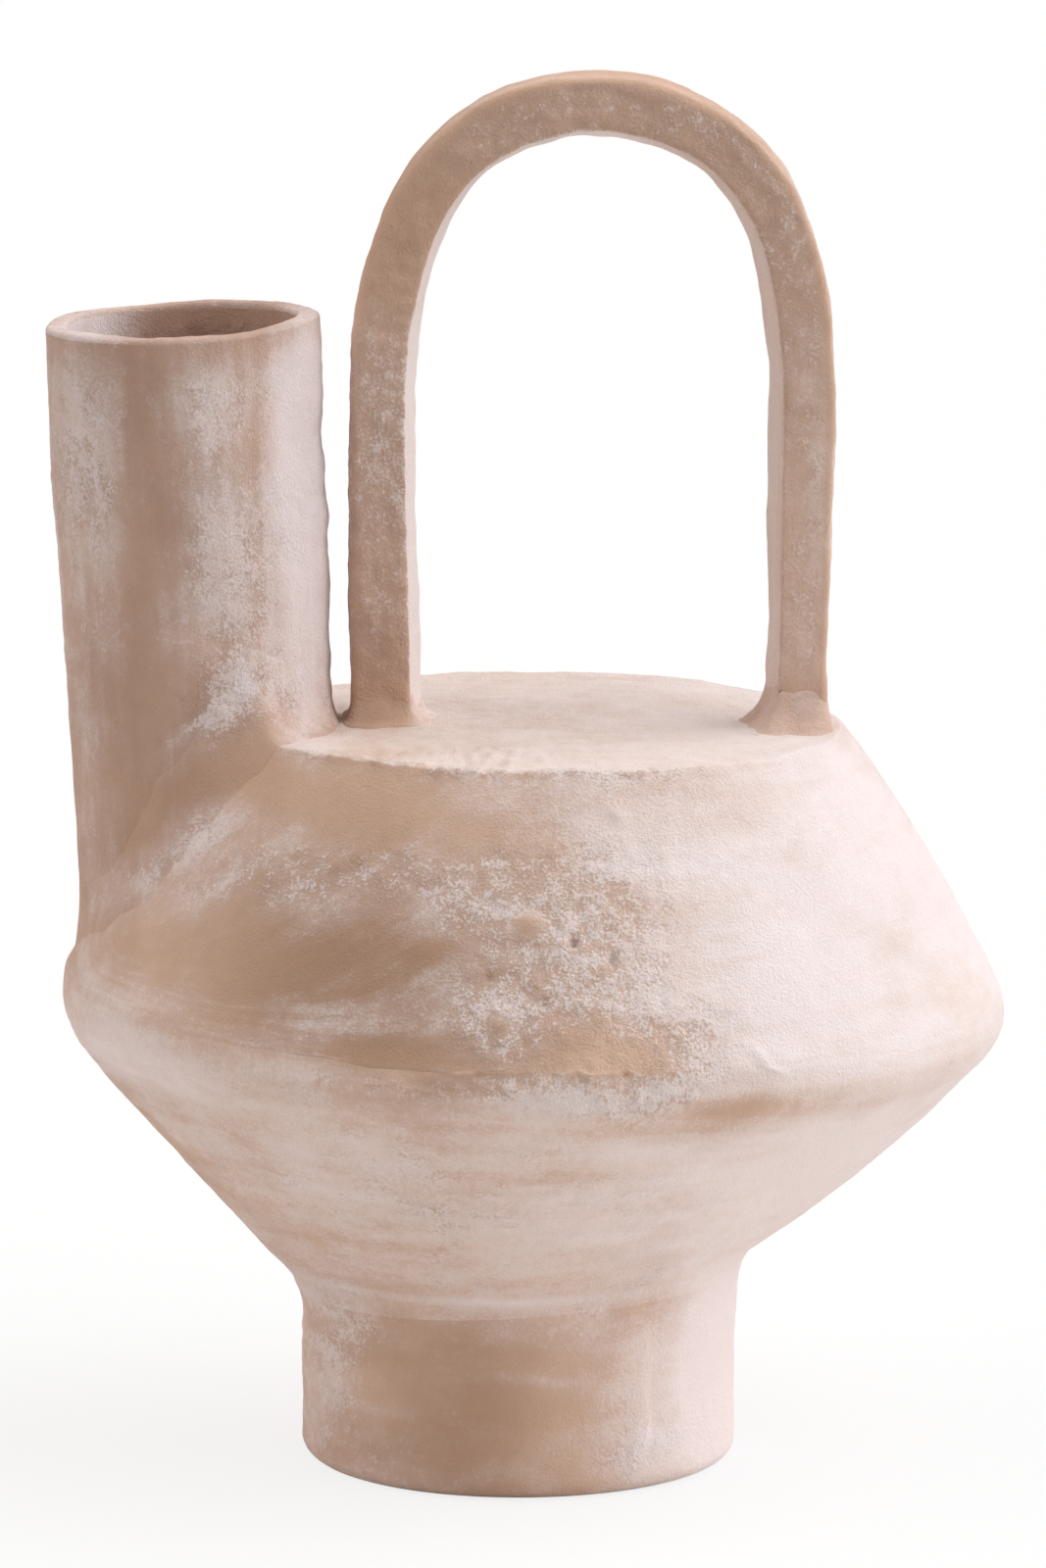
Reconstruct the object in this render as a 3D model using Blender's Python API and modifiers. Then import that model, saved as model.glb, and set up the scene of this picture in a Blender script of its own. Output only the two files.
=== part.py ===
"""Hand-built clay vase: a footed double-cone body with a flat deck, a tall offset neck and an arched strap handle.

The vase is built from slabs. The body's rings are bevelled where they meet and luted with slip, the neck is coped
to the shoulder, the handle stands on the deck, and a smeared weld of clay backs the neck and each handle foot.
Metres, +Z up. The origin is the centre of the foot, on the ground. +X runs from the neck to the handle.
"""

import math

import bmesh
import bpy
from mathutils import Matrix, Vector
from mathutils.bvhtree import BVHTree

# Walls and joints
WALL = 0.007
FLOOR_THICKNESS = 0.009
SLIP = 0.0003

# Sharp corners of the body's outer outline, and how far each is rounded
FOOT_RADIUS = 0.0607
FOOT_HEIGHT = 0.0527
FOOT_EDGE_ROUNDING = 0.0032
FOOT_FILLET = 0.022
BELLY_RADIUS = 0.1355
BELLY_HEIGHT = 0.1272
BELLY_ROUNDING = 0.016
DECK_RADIUS = 0.0842
DECK_HEIGHT = 0.2081
DECK_EDGE_ROUNDING = 0.0022

# How far off the axis, and how far out of level towards +X, each seam was set by hand
BELLY_SHIFT = 0.0045
DECK_SHIFT = 0.0057
FOOT_TOP_TILT = math.radians(3.0)
BELLY_TILT = math.radians(-1.2)
DECK_TILT = math.radians(-0.7)

# Neck: a rolled slab that leans away from the handle, standing just inside the belly's edge
NECK_RIM_RADIUS = 0.0384
NECK_SEAT_RADIUS = 0.0362
NECK_RIM_HEIGHT = 0.3204
NECK_LEAN = math.radians(2.4)
NECK_INSET = 0.0098
NECK_WALL = 0.0065
NECK_RIM_ROUNDING = 0.0024

# Weld around the neck: how far it climbs the neck, and how far it spreads on the body
NECK_WELD_RISE = 0.013
NECK_WELD_TOP = 0.0010
NECK_WELD_SPREAD_SIDE = 0.0018
NECK_WELD_SPREAD_FRONT = 0.0095

# Handle: a bar bent into an arch, with its inner face shaved back towards the front
HANDLE_NECK_GAP = 0.0047
HANDLE_EDGE_INSET = 0.0036
HANDLE_LEG_SPLAY = 0.0010
HANDLE_TOP = 0.3882
HANDLE_ARCH_RISE = 0.0820
HANDLE_ARCH_POWER = 2.2
BAR_WIDTH = 0.0186
BAR_DEPTH = 0.0200
BAR_SHAVING = 0.0034
BAR_ROUNDING = 0.0022
BAR_CROWN_SCALE = 0.86

# Weld around each handle foot
HANDLE_WELD_RISE = 0.010
HANDLE_WELD_TOP = 0.0010
HANDLE_WELD_SPREAD = 0.0080
HANDLE_WELD_SPREAD_TIGHT = 0.0014

# Fineness of the facets
RING_STEPS = 56
CORNER_STEPS = 6
NECK_WELD_STEPS = 48
WELD_CURVE_STEPS = 4
ARCH_STEPS = 26
BAR_CORNER_STEPS = 3
SHARP_ANGLE = math.radians(38)
CUT_MARGIN = 0.004

CLAY_COLOUR = (0.56, 0.40, 0.31, 1.0)
CLAY_ROUGHNESS = 0.92


# Outline of the body

def directions(before, corner, after):
    """Unit directions of the two straight runs that meet at a corner of an outline."""
    return (corner - before).normalized(), (after - corner).normalized()


def inward(direction):
    """Normal on the clay side of an outline that climbs the outer wall."""
    return Vector((-direction.y, direction.x))


def set_in(corners, distance):
    """Inner corners of an outline moved into the clay by a distance. The two ends keep their place."""
    moved = [corners[0]]
    for before, corner, after in zip(corners, corners[1:], corners[2:]):
        arriving, leaving = map(inward, directions(before, corner, after))
        moved.append(corner + (arriving + leaving) * (distance / (1 + arriving.dot(leaving))))
    return moved + [corners[-1]]


def swung(arm, angle):
    """A 2-D arm turned anticlockwise by an angle."""
    cosine, sine = math.cos(angle), math.sin(angle)
    return Vector((arm.x * cosine - arm.y * sine, arm.x * sine + arm.y * cosine))


def rounded(before, corner, after, radius, steps=CORNER_STEPS):
    """Points of the arc that rounds a corner, or the corner alone where the radius is nothing."""
    if radius <= 0:
        return [corner]
    arriving, leaving = directions(before, corner, after)
    turn = math.atan2(arriving.x * leaving.y - arriving.y * leaving.x, arriving.dot(leaving))
    start = corner - arriving * (radius * math.tan(abs(turn) / 2))
    centre = start + inward(arriving) * math.copysign(radius, turn)
    arm = start - centre
    return [centre + swung(arm, turn * step / steps) for step in range(steps + 1)]


def body_corners():
    """Sharp corners of the outer outline: along the ground, up the wall and in to the deck's centre."""
    return [
        Vector((0, 0)),
        Vector((FOOT_RADIUS, 0)),
        Vector((FOOT_RADIUS, FOOT_HEIGHT)),
        Vector((BELLY_RADIUS, BELLY_HEIGHT)),
        Vector((DECK_RADIUS, DECK_HEIGHT)),
        Vector((0, DECK_HEIGHT)),
    ]


def body_arcs(depth):
    """Rounded corners of the body's outline at a depth inside the clay, from the foot's edge to the deck's edge."""
    outer = body_corners()
    corners = set_in(outer, depth)
    corners[0] = Vector((0, depth))
    corners[-1] = Vector((0, DECK_HEIGHT - depth))
    radii = (
        FOOT_EDGE_ROUNDING - depth,
        FOOT_FILLET + depth,
        BELLY_ROUNDING - depth,
        DECK_EDGE_ROUNDING - depth,
    )
    return [
        rounded(*corners[index:index + 3], radius)
        for index, radius in enumerate(radii)
    ]


def second_half(arc):
    return arc[len(arc) // 2:]


def first_half(arc):
    return arc[:len(arc) // 2 + 1]


def drawn_back(outer_point, inner_point, side):
    """A bevelled end, drawn back by half the slip. Side is 1 for the lower end of a wall and -1 for the upper end."""
    across = (outer_point - inner_point).normalized()
    along = Vector((-across.y, across.x)) * (side * SLIP / 2)
    return outer_point + along, inner_point + along


def ring_section(lower, upper):
    """Cross-section of the wall between two bevelled seams, numbered from the foot's edge up."""
    outer_arcs, inner_arcs = body_arcs(0), body_arcs(WALL)
    outer = second_half(outer_arcs[lower]) + first_half(outer_arcs[upper])
    inner = second_half(inner_arcs[lower]) + first_half(inner_arcs[upper])
    outer[0], inner[0] = drawn_back(outer[0], inner[0], 1)
    outer[-1], inner[-1] = drawn_back(outer[-1], inner[-1], -1)
    return outer + inner[::-1]


def foot_section():
    """Cross-section of the foot wall: flat on the ground and bevelled at the top."""
    outer_arcs, inner_arcs = body_arcs(0), body_arcs(WALL)
    outer = outer_arcs[0] + first_half(outer_arcs[1])
    inner = [Vector((FOOT_RADIUS - WALL, 0))] + first_half(inner_arcs[1])
    outer[-1], inner[-1] = drawn_back(outer[-1], inner[-1], -1)
    return outer + inner[::-1]


def deck_section():
    """Cross-section of the deck slab: a disc with a bevelled edge."""
    outer = second_half(body_arcs(0)[3])
    inner = second_half(body_arcs(WALL)[3])
    outer[0], inner[0] = drawn_back(outer[0], inner[0], 1)
    return outer + [Vector((0, DECK_HEIGHT)), Vector((0, DECK_HEIGHT - WALL))] + inner[::-1]


def floor_section():
    """Cross-section of the floor slab, set inside the foot wall and level with its underside."""
    radius = FOOT_RADIUS - WALL - SLIP
    return [
        Vector((0, 0)),
        Vector((radius, 0)),
        Vector((radius, FLOOR_THICKNESS)),
        Vector((0, FLOOR_THICKNESS)),
    ]


def envelope_section():
    """Outline of everything under the body's outer face, with room for the slip."""
    arcs = body_arcs(-SLIP)
    top = Vector((0, DECK_HEIGHT + SLIP))
    return [Vector((0, -SLIP))] + [point for arc in arcs for point in arc] + [top]


# The potter's hand

def at_height(height, values):
    """A value at a height, read between the values at the foot, the foot's top, the belly and the deck."""
    heights = (0.0, FOOT_HEIGHT, BELLY_HEIGHT, DECK_HEIGHT)
    if height >= heights[-1]:
        return values[-1]
    for low, high, first, last in zip(heights, heights[1:], values, values[1:]):
        if height <= high:
            return first + (last - first) * max(0.0, (height - low) / (high - low))
    return values[-1]


def settle(point):
    """Where a point of the true turned form lies on the hand-set body, whose seams are shifted and out of level."""
    shift = at_height(point.z, (0.0, 0.0, BELLY_SHIFT, DECK_SHIFT))
    slope = math.tan(at_height(point.z, (0.0, FOOT_TOP_TILT, BELLY_TILT, DECK_TILT)))
    return Vector((point.x + shift, point.y, point.z + slope * point.x))


def deck_height_at(x):
    """Height of the deck's face under a place along X."""
    return DECK_HEIGHT + math.tan(DECK_TILT) * (x - DECK_SHIFT)


# Blender helpers

def clear_scene():
    for item in list(bpy.data.objects):
        bpy.data.objects.remove(item)


def new_collection(name):
    collection = bpy.data.collections.new(name)
    bpy.context.scene.collection.children.link(collection)
    return collection


def new_clay():
    material = bpy.data.materials.new("whitewashed_clay")
    material.use_nodes = True
    shader = material.node_tree.nodes["Principled BSDF"]
    shader.inputs["Base Color"].default_value = CLAY_COLOUR
    shader.inputs["Roughness"].default_value = CLAY_ROUGHNESS
    shader.inputs["Metallic"].default_value = 0.0
    return material


def add_object(name, mesh, collection):
    item = bpy.data.objects.new(name, mesh)
    collection.objects.link(item)
    return item


def as_mesh(item):
    """The evaluated shape of an object as a welded mesh that faces outwards. The object itself is removed."""
    bpy.context.view_layer.update()
    graph = bpy.context.evaluated_depsgraph_get()
    mesh = bpy.data.meshes.new_from_object(item.evaluated_get(graph))
    shape = bmesh.new()
    shape.from_mesh(mesh)
    bmesh.ops.remove_doubles(shape, verts=shape.verts, dist=1e-6)
    bmesh.ops.recalc_face_normals(shape, faces=shape.faces)
    shape.to_mesh(mesh)
    shape.free()
    bpy.data.objects.remove(item)
    return mesh


def turned(name, section, collection):
    """A closed section turned about Z."""
    points = section[::-1]
    profile = bpy.data.meshes.new(name)
    edges = [(index, (index + 1) % len(points)) for index in range(len(points))]
    profile.from_pydata([(point.x, 0.0, point.y) for point in points], edges, [])
    screw = add_object(name + "_profile", profile, collection)
    modifier = screw.modifiers.new("turn", "SCREW")
    modifier.axis = "Z"
    modifier.steps = modifier.render_steps = RING_STEPS
    modifier.use_merge_vertices = True
    modifier.merge_threshold = 1e-5
    return as_mesh(screw)


def body_piece(name, section, collection):
    """A turned piece of the body, set by hand."""
    mesh = turned(name, section, collection)
    for vertex in mesh.vertices:
        vertex.co = settle(vertex.co)
    return add_object(name, mesh, collection)


def cut(item, cutter):
    """Takes the cutter's volume away from a piece."""
    modifier = item.modifiers.new("cut_by_" + cutter.name, "BOOLEAN")
    modifier.operation = "DIFFERENCE"
    modifier.solver = "EXACT"
    modifier.object = cutter


def as_cutter(item):
    item.hide_render = True
    item.display_type = "WIRE"
    return item


def ring_loft(name, rings, collection):
    """A closed ring through sections that run round it, each with the same number of points."""
    count, width = len(rings), len(rings[0])
    faces = [
        (
            ring * width + side,
            ring * width + (side + 1) % width,
            (ring + 1) % count * width + (side + 1) % width,
            (ring + 1) % count * width + side,
        )
        for ring in range(count)
        for side in range(width)
    ]
    mesh = bpy.data.meshes.new(name)
    mesh.from_pydata([point for ring in rings for point in ring], [], faces)
    shape = bmesh.new()
    shape.from_mesh(mesh)
    bmesh.ops.recalc_face_normals(shape, faces=shape.faces)
    shape.to_mesh(mesh)
    shape.free()
    return add_object(name, mesh, collection)


# Body

def make_body(parts):
    """Floor, foot, two cones and deck. Returns the pieces by name."""
    sections = {
        "floor_slab": floor_section(),
        "foot_wall": foot_section(),
        "lower_cone": ring_section(1, 2),
        "upper_cone": ring_section(2, 3),
        "deck_slab": deck_section(),
    }
    return {name: body_piece(name, section, parts) for name, section in sections.items()}


# Neck

def neck_seat_x():
    """Place of the neck's axis at the height of the belly: its outer wall stands just inside the belly's edge."""
    return BELLY_SHIFT - BELLY_RADIUS + NECK_INSET + NECK_SEAT_RADIUS


def neck_length():
    """Length of the neck's axis from the height of the belly up to the rim, before the neck is coped."""
    return (NECK_RIM_HEIGHT - BELLY_HEIGHT) / math.cos(NECK_LEAN)


def neck_frame():
    """The neck's own frame: its origin at the rim's centre, and Z up the leaning axis."""
    rim_x = neck_seat_x() - math.sin(NECK_LEAN) * neck_length()
    place = Matrix.Translation((rim_x, 0.0, NECK_RIM_HEIGHT))
    return place @ Matrix.Rotation(-NECK_LEAN, 4, "Y")


def neck_radius(depth):
    """Outer radius of the neck at a depth below its rim."""
    return NECK_RIM_RADIUS + (NECK_SEAT_RADIUS - NECK_RIM_RADIUS) * depth / neck_length()


def neck_section():
    """Cross-section of the neck's wall, with a softened rim."""
    foot = Vector((neck_radius(neck_length()), -neck_length()))
    rim = Vector((NECK_RIM_RADIUS, 0))
    inner_rim = rim - Vector((NECK_WALL, 0))
    inner_foot = foot - Vector((NECK_WALL, 0))
    outer_lip = rounded(foot, rim, inner_rim, NECK_RIM_ROUNDING)
    inner_lip = rounded(rim, inner_rim, inner_foot, NECK_RIM_ROUNDING)
    return [foot] + outer_lip + inner_lip + [inner_foot]


def bore_section():
    """Outline of the neck's bore, from above the rim down into the body's hollow."""
    reach = neck_length() + CUT_MARGIN
    return [
        Vector((0, -reach)),
        Vector((neck_radius(reach) - NECK_WALL, -reach)),
        Vector((neck_radius(-CUT_MARGIN) - NECK_WALL, CUT_MARGIN)),
        Vector((0, CUT_MARGIN)),
    ]


def neck_piece(name, section, collection):
    """A piece turned about the neck's axis."""
    mesh = turned(name, section, collection)
    mesh.transform(neck_frame())
    return add_object(name, mesh, collection)


# Welds

def weld_curve(spread, rise, top):
    """Hollow face of a smeared weld from its toe up to its top edge, as pairs of outward and upward distances."""
    angles = (math.pi / 2 * step / WELD_CURVE_STEPS for step in range(WELD_CURVE_STEPS + 1))
    return [
        (top + (spread - top) * (1 - math.sin(angle)), rise * (1 - math.cos(angle)))
        for angle in angles
    ]


def neck_weld_rings(envelope):
    """Sections of the weld round the neck. Each follows the saddle that the neck stands on."""
    tree = BVHTree.FromPolygons(
        [vertex.co for vertex in envelope.data.vertices],
        [face.vertices for face in envelope.data.polygons],
    )
    frame = neck_frame()
    down = frame.to_3x3() @ Vector((0, 0, -1))

    def seat(direction, radius):
        """Height in the neck's frame where a line along its axis meets the body."""
        place = frame @ (direction * radius)
        distance = tree.ray_cast(place, down)[3]
        return -(neck_length() if distance is None else distance)

    rings = []
    for step in range(NECK_WELD_STEPS):
        angle = 2 * math.pi * step / NECK_WELD_STEPS
        direction = Vector((math.cos(angle), math.sin(angle), 0.0))
        widening = (NECK_WELD_SPREAD_FRONT - NECK_WELD_SPREAD_SIDE) * direction.y ** 2
        base = seat(direction, neck_radius(neck_length()))
        wall = neck_radius(-base) + SLIP
        curve = [
            (wall + out, seat(direction, wall + out) + up)
            for out, up in weld_curve(NECK_WELD_SPREAD_SIDE + widening, NECK_WELD_RISE, NECK_WELD_TOP)
        ]
        top = curve[-1][1]
        lowest = min(base, curve[0][1]) - CUT_MARGIN
        section = (
            [(curve[0][0], lowest)]
            + curve
            + [(neck_radius(-top) + SLIP, top), (neck_radius(-lowest) + SLIP, lowest)]
        )
        rings.append([frame @ (direction * out + Vector((0, 0, up))) for out, up in section])
    return rings


def handle_weld_rings(foot_x, side):
    """Sections of the weld round a handle foot: side -1 is tight towards the neck, and 1 at the deck's edge."""
    inner = [Vector((-side * point.x, point.y)) for point in bar_outline(SLIP)]
    rings = []
    for index, point in enumerate(inner):
        along = inner[(index + 1) % len(inner)] - inner[index - 1]
        normal = Vector((along.y, -along.x)).normalized() * -side
        tightness = max(0.0, normal.x * side) ** 2
        spread = HANDLE_WELD_SPREAD + (HANDLE_WELD_SPREAD_TIGHT - HANDLE_WELD_SPREAD) * tightness
        ring = []
        for out, up in weld_curve(spread, HANDLE_WELD_RISE, HANDLE_WELD_TOP):
            place = point + normal * out
            ring.append((foot_x + place.x, place.y, deck_height_at(foot_x + place.x) + up))
        toe, lip = ring[0], ring[-1]
        wall = (foot_x + point.x, point.y)
        lowest = min(toe[2], deck_height_at(wall[0])) - CUT_MARGIN
        rings.append([(*toe[:2], lowest)] + ring + [(*wall, lip[2]), (*wall, lowest)])
    return rings


# Handle

def handle_feet():
    """Places along X of the two feet: one beside the neck, the other just inside the deck's edge."""
    deck_point = neck_frame().inverted() @ Vector((0, 0, deck_height_at(neck_seat_x())))
    axis = neck_frame() @ Vector((0, 0, deck_point.z))
    beside_neck = axis.x + neck_radius(-deck_point.z) / math.cos(NECK_LEAN)
    left = beside_neck + HANDLE_NECK_GAP + BAR_WIDTH / 2
    right = DECK_SHIFT + DECK_RADIUS - HANDLE_EDGE_INSET - BAR_WIDTH / 2
    return left, right


def bar_outline(grow):
    """Outline of the bar seen from above its left foot, grown by a distance: X across the bar, Y through it."""
    half, deep = BAR_WIDTH / 2, BAR_DEPTH / 2
    corners = [
        Vector((-half, -deep)),
        Vector((half - BAR_SHAVING, -deep)),
        Vector((half, deep)),
        Vector((-half, deep)),
    ]
    looped = [corners[-1]] + corners + [corners[0]]
    grown = set_in(looped, -grow)[1:-1]
    return [
        point
        for index in range(4)
        for point in rounded(
            grown[index - 1],
            grown[index],
            grown[(index + 1) % 4],
            BAR_ROUNDING + grow,
            BAR_CORNER_STEPS,
        )
    ]


def handle_path():
    """Centre line of the handle as (X, height, scale) from the left foot over the arch to the right foot."""
    left, right = handle_feet()
    centre, half_span = (left + right) / 2, (right - left) / 2 + HANDLE_LEG_SPLAY
    crown = HANDLE_TOP - BAR_CROWN_SCALE * BAR_WIDTH / 2
    spring = crown - HANDLE_ARCH_RISE
    power = 2 / HANDLE_ARCH_POWER
    arch = []
    for step in range(ARCH_STEPS + 1):
        angle = math.pi * (1 - step / ARCH_STEPS)
        across = math.copysign(abs(math.cos(angle)) ** power, math.cos(angle))
        up = abs(math.sin(angle)) ** power
        arch.append((centre + half_span * across, spring + HANDLE_ARCH_RISE * up, 1 - (1 - BAR_CROWN_SCALE) * up))
    feet = []
    for x in (left, right):
        deck = deck_height_at(x)
        feet.append([(x, deck - CUT_MARGIN, 1.0), (x, deck + HANDLE_WELD_RISE + CUT_MARGIN, 1.0)])
    return feet[0] + arch + feet[1][::-1]


def flat_curve(name, collection):
    curve = bpy.data.curves.new(name, "CURVE")
    curve.dimensions = "2D"
    curve.fill_mode = "NONE"
    return add_object(name, curve, collection)


def make_handle(parts, cutters):
    """The bar's outline swept along the arch."""
    outline = flat_curve("bar_outline", cutters)
    points = bar_outline(0.0)
    spline = outline.data.splines.new("POLY")
    spline.points.add(len(points) - 1)
    for target, point in zip(spline.points, points):
        target.co = (point.x, -point.y, 0.0, 1.0)
    spline.use_cyclic_u = True
    arch = flat_curve("handle_sweep", cutters)
    arch.data.bevel_mode = "OBJECT"
    arch.data.bevel_object = outline
    arch.data.use_fill_caps = True
    path = handle_path()
    spline = arch.data.splines.new("POLY")
    spline.points.add(len(path) - 1)
    for target, (x, height, scale) in zip(spline.points, path):
        target.co = (x, height, 0.0, 1.0)
        target.radius = scale
    arch.matrix_world = Matrix.Rotation(math.pi / 2, 4, "X")
    bpy.context.view_layer.update()
    stand = arch.matrix_world.copy()
    mesh = as_mesh(arch)
    mesh.transform(stand)
    bpy.data.objects.remove(outline)
    return add_object("handle_arch", mesh, parts)


# The vase

def finish(item, clay):
    """Gives a piece its clay, and smooth shading except across its sharp edges."""
    item.data.materials.clear()
    item.data.materials.append(clay)
    item.data.shade_smooth()
    item.data.set_sharp_from_angle(angle=SHARP_ANGLE)


def main():
    clear_scene()
    parts = new_collection("clay_vase")
    cutters = new_collection("cutters")
    envelope = as_cutter(body_piece("envelope", envelope_section(), cutters))
    bore = as_cutter(neck_piece("neck_bore", bore_section(), cutters))
    body = make_body(parts)
    for name in ("upper_cone", "deck_slab"):
        cut(body[name], bore)
    left_foot, right_foot = handle_feet()
    standing = [
        neck_piece("neck_tube", neck_section(), parts),
        ring_loft("neck_weld", neck_weld_rings(envelope), parts),
        make_handle(parts, cutters),
        ring_loft("handle_weld_left", handle_weld_rings(left_foot, -1), parts),
        ring_loft("handle_weld_right", handle_weld_rings(right_foot, 1), parts),
    ]
    for item in standing:
        cut(item, envelope)
    clay = new_clay()
    for item in [*body.values(), *standing]:
        finish(item, clay)


main()
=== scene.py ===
"""Looks of the slab-built clay vase: pressed walls, smeared joints and a chalky, brushed-on slip.

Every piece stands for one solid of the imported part. Its skin is a numpy surface on a grid of two parameters,
pushed in and out along its normals by the relief of hand-pressed clay, and all the pieces share one relief so
that they meet without a step. Metres, +Z up, the origin under the middle of the foot, -Y towards the camera.
"""

import logging
import math
from collections.abc import Callable, Sequence
from dataclasses import dataclass, field
from enum import Enum, IntEnum

import bmesh
import bpy
import numpy as np
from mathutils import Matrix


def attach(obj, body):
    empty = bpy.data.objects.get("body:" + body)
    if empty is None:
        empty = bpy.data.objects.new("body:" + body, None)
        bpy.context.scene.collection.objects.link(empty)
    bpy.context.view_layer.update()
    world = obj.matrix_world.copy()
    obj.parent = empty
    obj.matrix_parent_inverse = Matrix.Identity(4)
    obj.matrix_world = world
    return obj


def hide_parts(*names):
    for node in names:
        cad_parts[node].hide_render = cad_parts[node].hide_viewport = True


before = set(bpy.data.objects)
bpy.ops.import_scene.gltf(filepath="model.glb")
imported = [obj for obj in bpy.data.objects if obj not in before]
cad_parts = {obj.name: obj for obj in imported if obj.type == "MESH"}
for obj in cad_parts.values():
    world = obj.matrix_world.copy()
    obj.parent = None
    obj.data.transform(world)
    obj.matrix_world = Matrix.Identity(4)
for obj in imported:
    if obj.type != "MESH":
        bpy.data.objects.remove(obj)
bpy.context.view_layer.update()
LOG = logging.getLogger("clay_vase")
Array = np.ndarray
Colour = tuple[float, float, float, float]
Triple = tuple[float, float, float]
Pairs = tuple[tuple[float, float], ...]

# Angle past which an edge stays crisp
CRISP_ANGLE = math.radians(58.0)
# Cells after which the noise repeats
LATTICE = 256
# Half of the distance over which a slope is read
PROBE = 0.0004
# How far a weld's top is tucked into the clay, and how far its back lies inside it
TUCK = 0.0006
BACKING = 0.0030


class Closing(Enum):
    """How a grid of points closes into a solid skin."""

    RING = "rows and columns both run round"
    DISC = "rows run round, and the first and last columns are poles"
    BAR = "columns run round, and the first and last rows are poles"


class Piece(Enum):
    """The vase's pieces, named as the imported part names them."""

    FLOOR = "floor_slab"
    FOOT = "foot_wall"
    LOWER_CONE = "lower_cone"
    UPPER_CONE = "upper_cone"
    DECK = "deck_slab"
    NECK = "neck_tube"
    NECK_WELD = "neck_weld"
    HANDLE = "handle_arch"
    LEFT_WELD = "handle_weld_left"
    RIGHT_WELD = "handle_weld_right"


class Leg(Enum):
    """The handle's two legs, with the way each one faces along X."""

    LEFT = -1.0
    RIGHT = 1.0


class Seam(IntEnum):
    """Roundings of the body's outline, numbered from the foot up."""

    FOOT_EDGE = 0
    FOOT_TOP = 1
    BELLY = 2
    CREASE = 3
    DECK_EDGE = 4


# Numbers and curves


def smooth_step(low: float, high: float, values: Array) -> Array:
    """Eases values from 0 at the low mark to 1 at the high mark, flat at both ends.

    Args:
        low: Mark below which the result is 0.
        high: Mark above which the result is 1. It may be the smaller of the two.
        values: Numbers to ease.

    Returns:
        The eased numbers, in an array of the same shape.
    """
    part = np.clip((values - low) / (high - low), 0.0, 1.0)
    return part * part * (3.0 - 2.0 * part)


def unit(vectors: Array) -> Array:
    """Vectors scaled to a length of one along their last axis."""
    return vectors / np.maximum(np.linalg.norm(vectors, axis=-1, keepdims=True), 1e-12)


def bell(values: Array, width: float, power: int = 2) -> Array:
    """A bell over values: 1 at nothing, then the exponential of minus a power of their share of the width."""
    return np.exp(-((values / width) ** power))


def steps_round(count: int) -> Array:
    """Angles of a number of equal steps round a full turn."""
    return 2.0 * math.pi * np.arange(count) / count


def round_axis(angle: Array, radius: Array, level: Array) -> Array:
    """Places round Z, from angles, radii and levels that are spread over one another as arrays are."""
    parts = np.broadcast_arrays(np.cos(angle) * radius, np.sin(angle) * radius, level)
    return np.stack(parts, axis=-1)


def outward(normals: Array, probed: Array, away: Array) -> Array:
    """Normals, turned over if some of them point into the clay.

    Args:
        normals: All the normals.
        probed: The ones to judge by.
        away: Directions out of the clay at those.

    Returns:
        The normals, out of the clay.
    """
    return -normals if np.sum(probed * away) < 0 else normals


def spline(knots: Array, values: Array, at: Array) -> Array:
    """Natural cubic spline: cubic pieces that agree in slope and bend at each knot and end with no bend.

    Args:
        knots: Rising parameter of each given value.
        values: Values at the knots, one row each.
        at: Parameters to read the curve at.

    Returns:
        One row of values for each parameter.
    """
    gaps = np.diff(knots)
    count = len(knots)
    system = np.eye(count)
    right = np.zeros_like(values)
    inner = np.arange(1, count - 1)
    system[inner, inner - 1] = gaps[:-1]
    system[inner, inner] = 2.0 * (gaps[:-1] + gaps[1:])
    system[inner, inner + 1] = gaps[1:]
    rises = np.diff(values, axis=0) / gaps[:, None]
    right[1:-1] = 6.0 * np.diff(rises, axis=0)
    bends = np.linalg.solve(system, right)
    part = np.clip(np.searchsorted(knots, at, side="right") - 1, 0, count - 2)
    gap = gaps[part][:, None]
    before = (at - knots[part])[:, None]
    after = gap - before
    return (
        bends[part] * after**3 / (6.0 * gap)
        + bends[part + 1] * before**3 / (6.0 * gap)
        + (values[part] / gap - bends[part] * gap / 6.0) * after
        + (values[part + 1] / gap - bends[part + 1] * gap / 6.0) * before
    )


def lengths_along(points: Array) -> Array:
    """Distance of each point from the first one, measured along the line through them."""
    return np.concatenate([[0.0], np.cumsum(np.linalg.norm(np.diff(points, axis=0), axis=1))])


def resampled(points: Array, count: int) -> Array:
    """The same line through a given number of points, evenly spaced along its length."""
    run = lengths_along(points)
    at = np.linspace(0.0, run[-1], count)
    return np.stack([np.interp(at, run, points[:, axis]) for axis in range(points.shape[1])], axis=1)


def corner_arc(before: Array, corner: Array, after: Array, radius: float, steps: int) -> Array:
    """Arc that rounds a corner of a flat outline: a circle tangent to the two straight runs that meet there.

    Args:
        before: Point on the run that arrives.
        corner: The sharp corner.
        after: Point on the run that leaves.
        radius: Radius of the rounding; nothing leaves the corner as one repeated point.
        steps: Number of equal turns along the arc.

    Returns:
        The arc's points, one row each.
    """
    arriving = unit(corner - before)
    leaving = unit(after - corner)
    cross = arriving[0] * leaving[1] - arriving[1] * leaving[0]
    turn = math.atan2(cross, float(arriving @ leaving))
    start = corner - arriving * max(radius, 0.0) * math.tan(abs(turn) / 2)
    side = math.copysign(max(radius, 1e-6), turn)
    centre = start + np.array([-arriving[1], arriving[0]]) * side
    angles = turn * np.linspace(0.0, 1.0, steps + 1)[:, None]
    arm = start - centre
    across = np.array([-arm[1], arm[0]])
    return centre + arm * np.cos(angles) + across * np.sin(angles)


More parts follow.
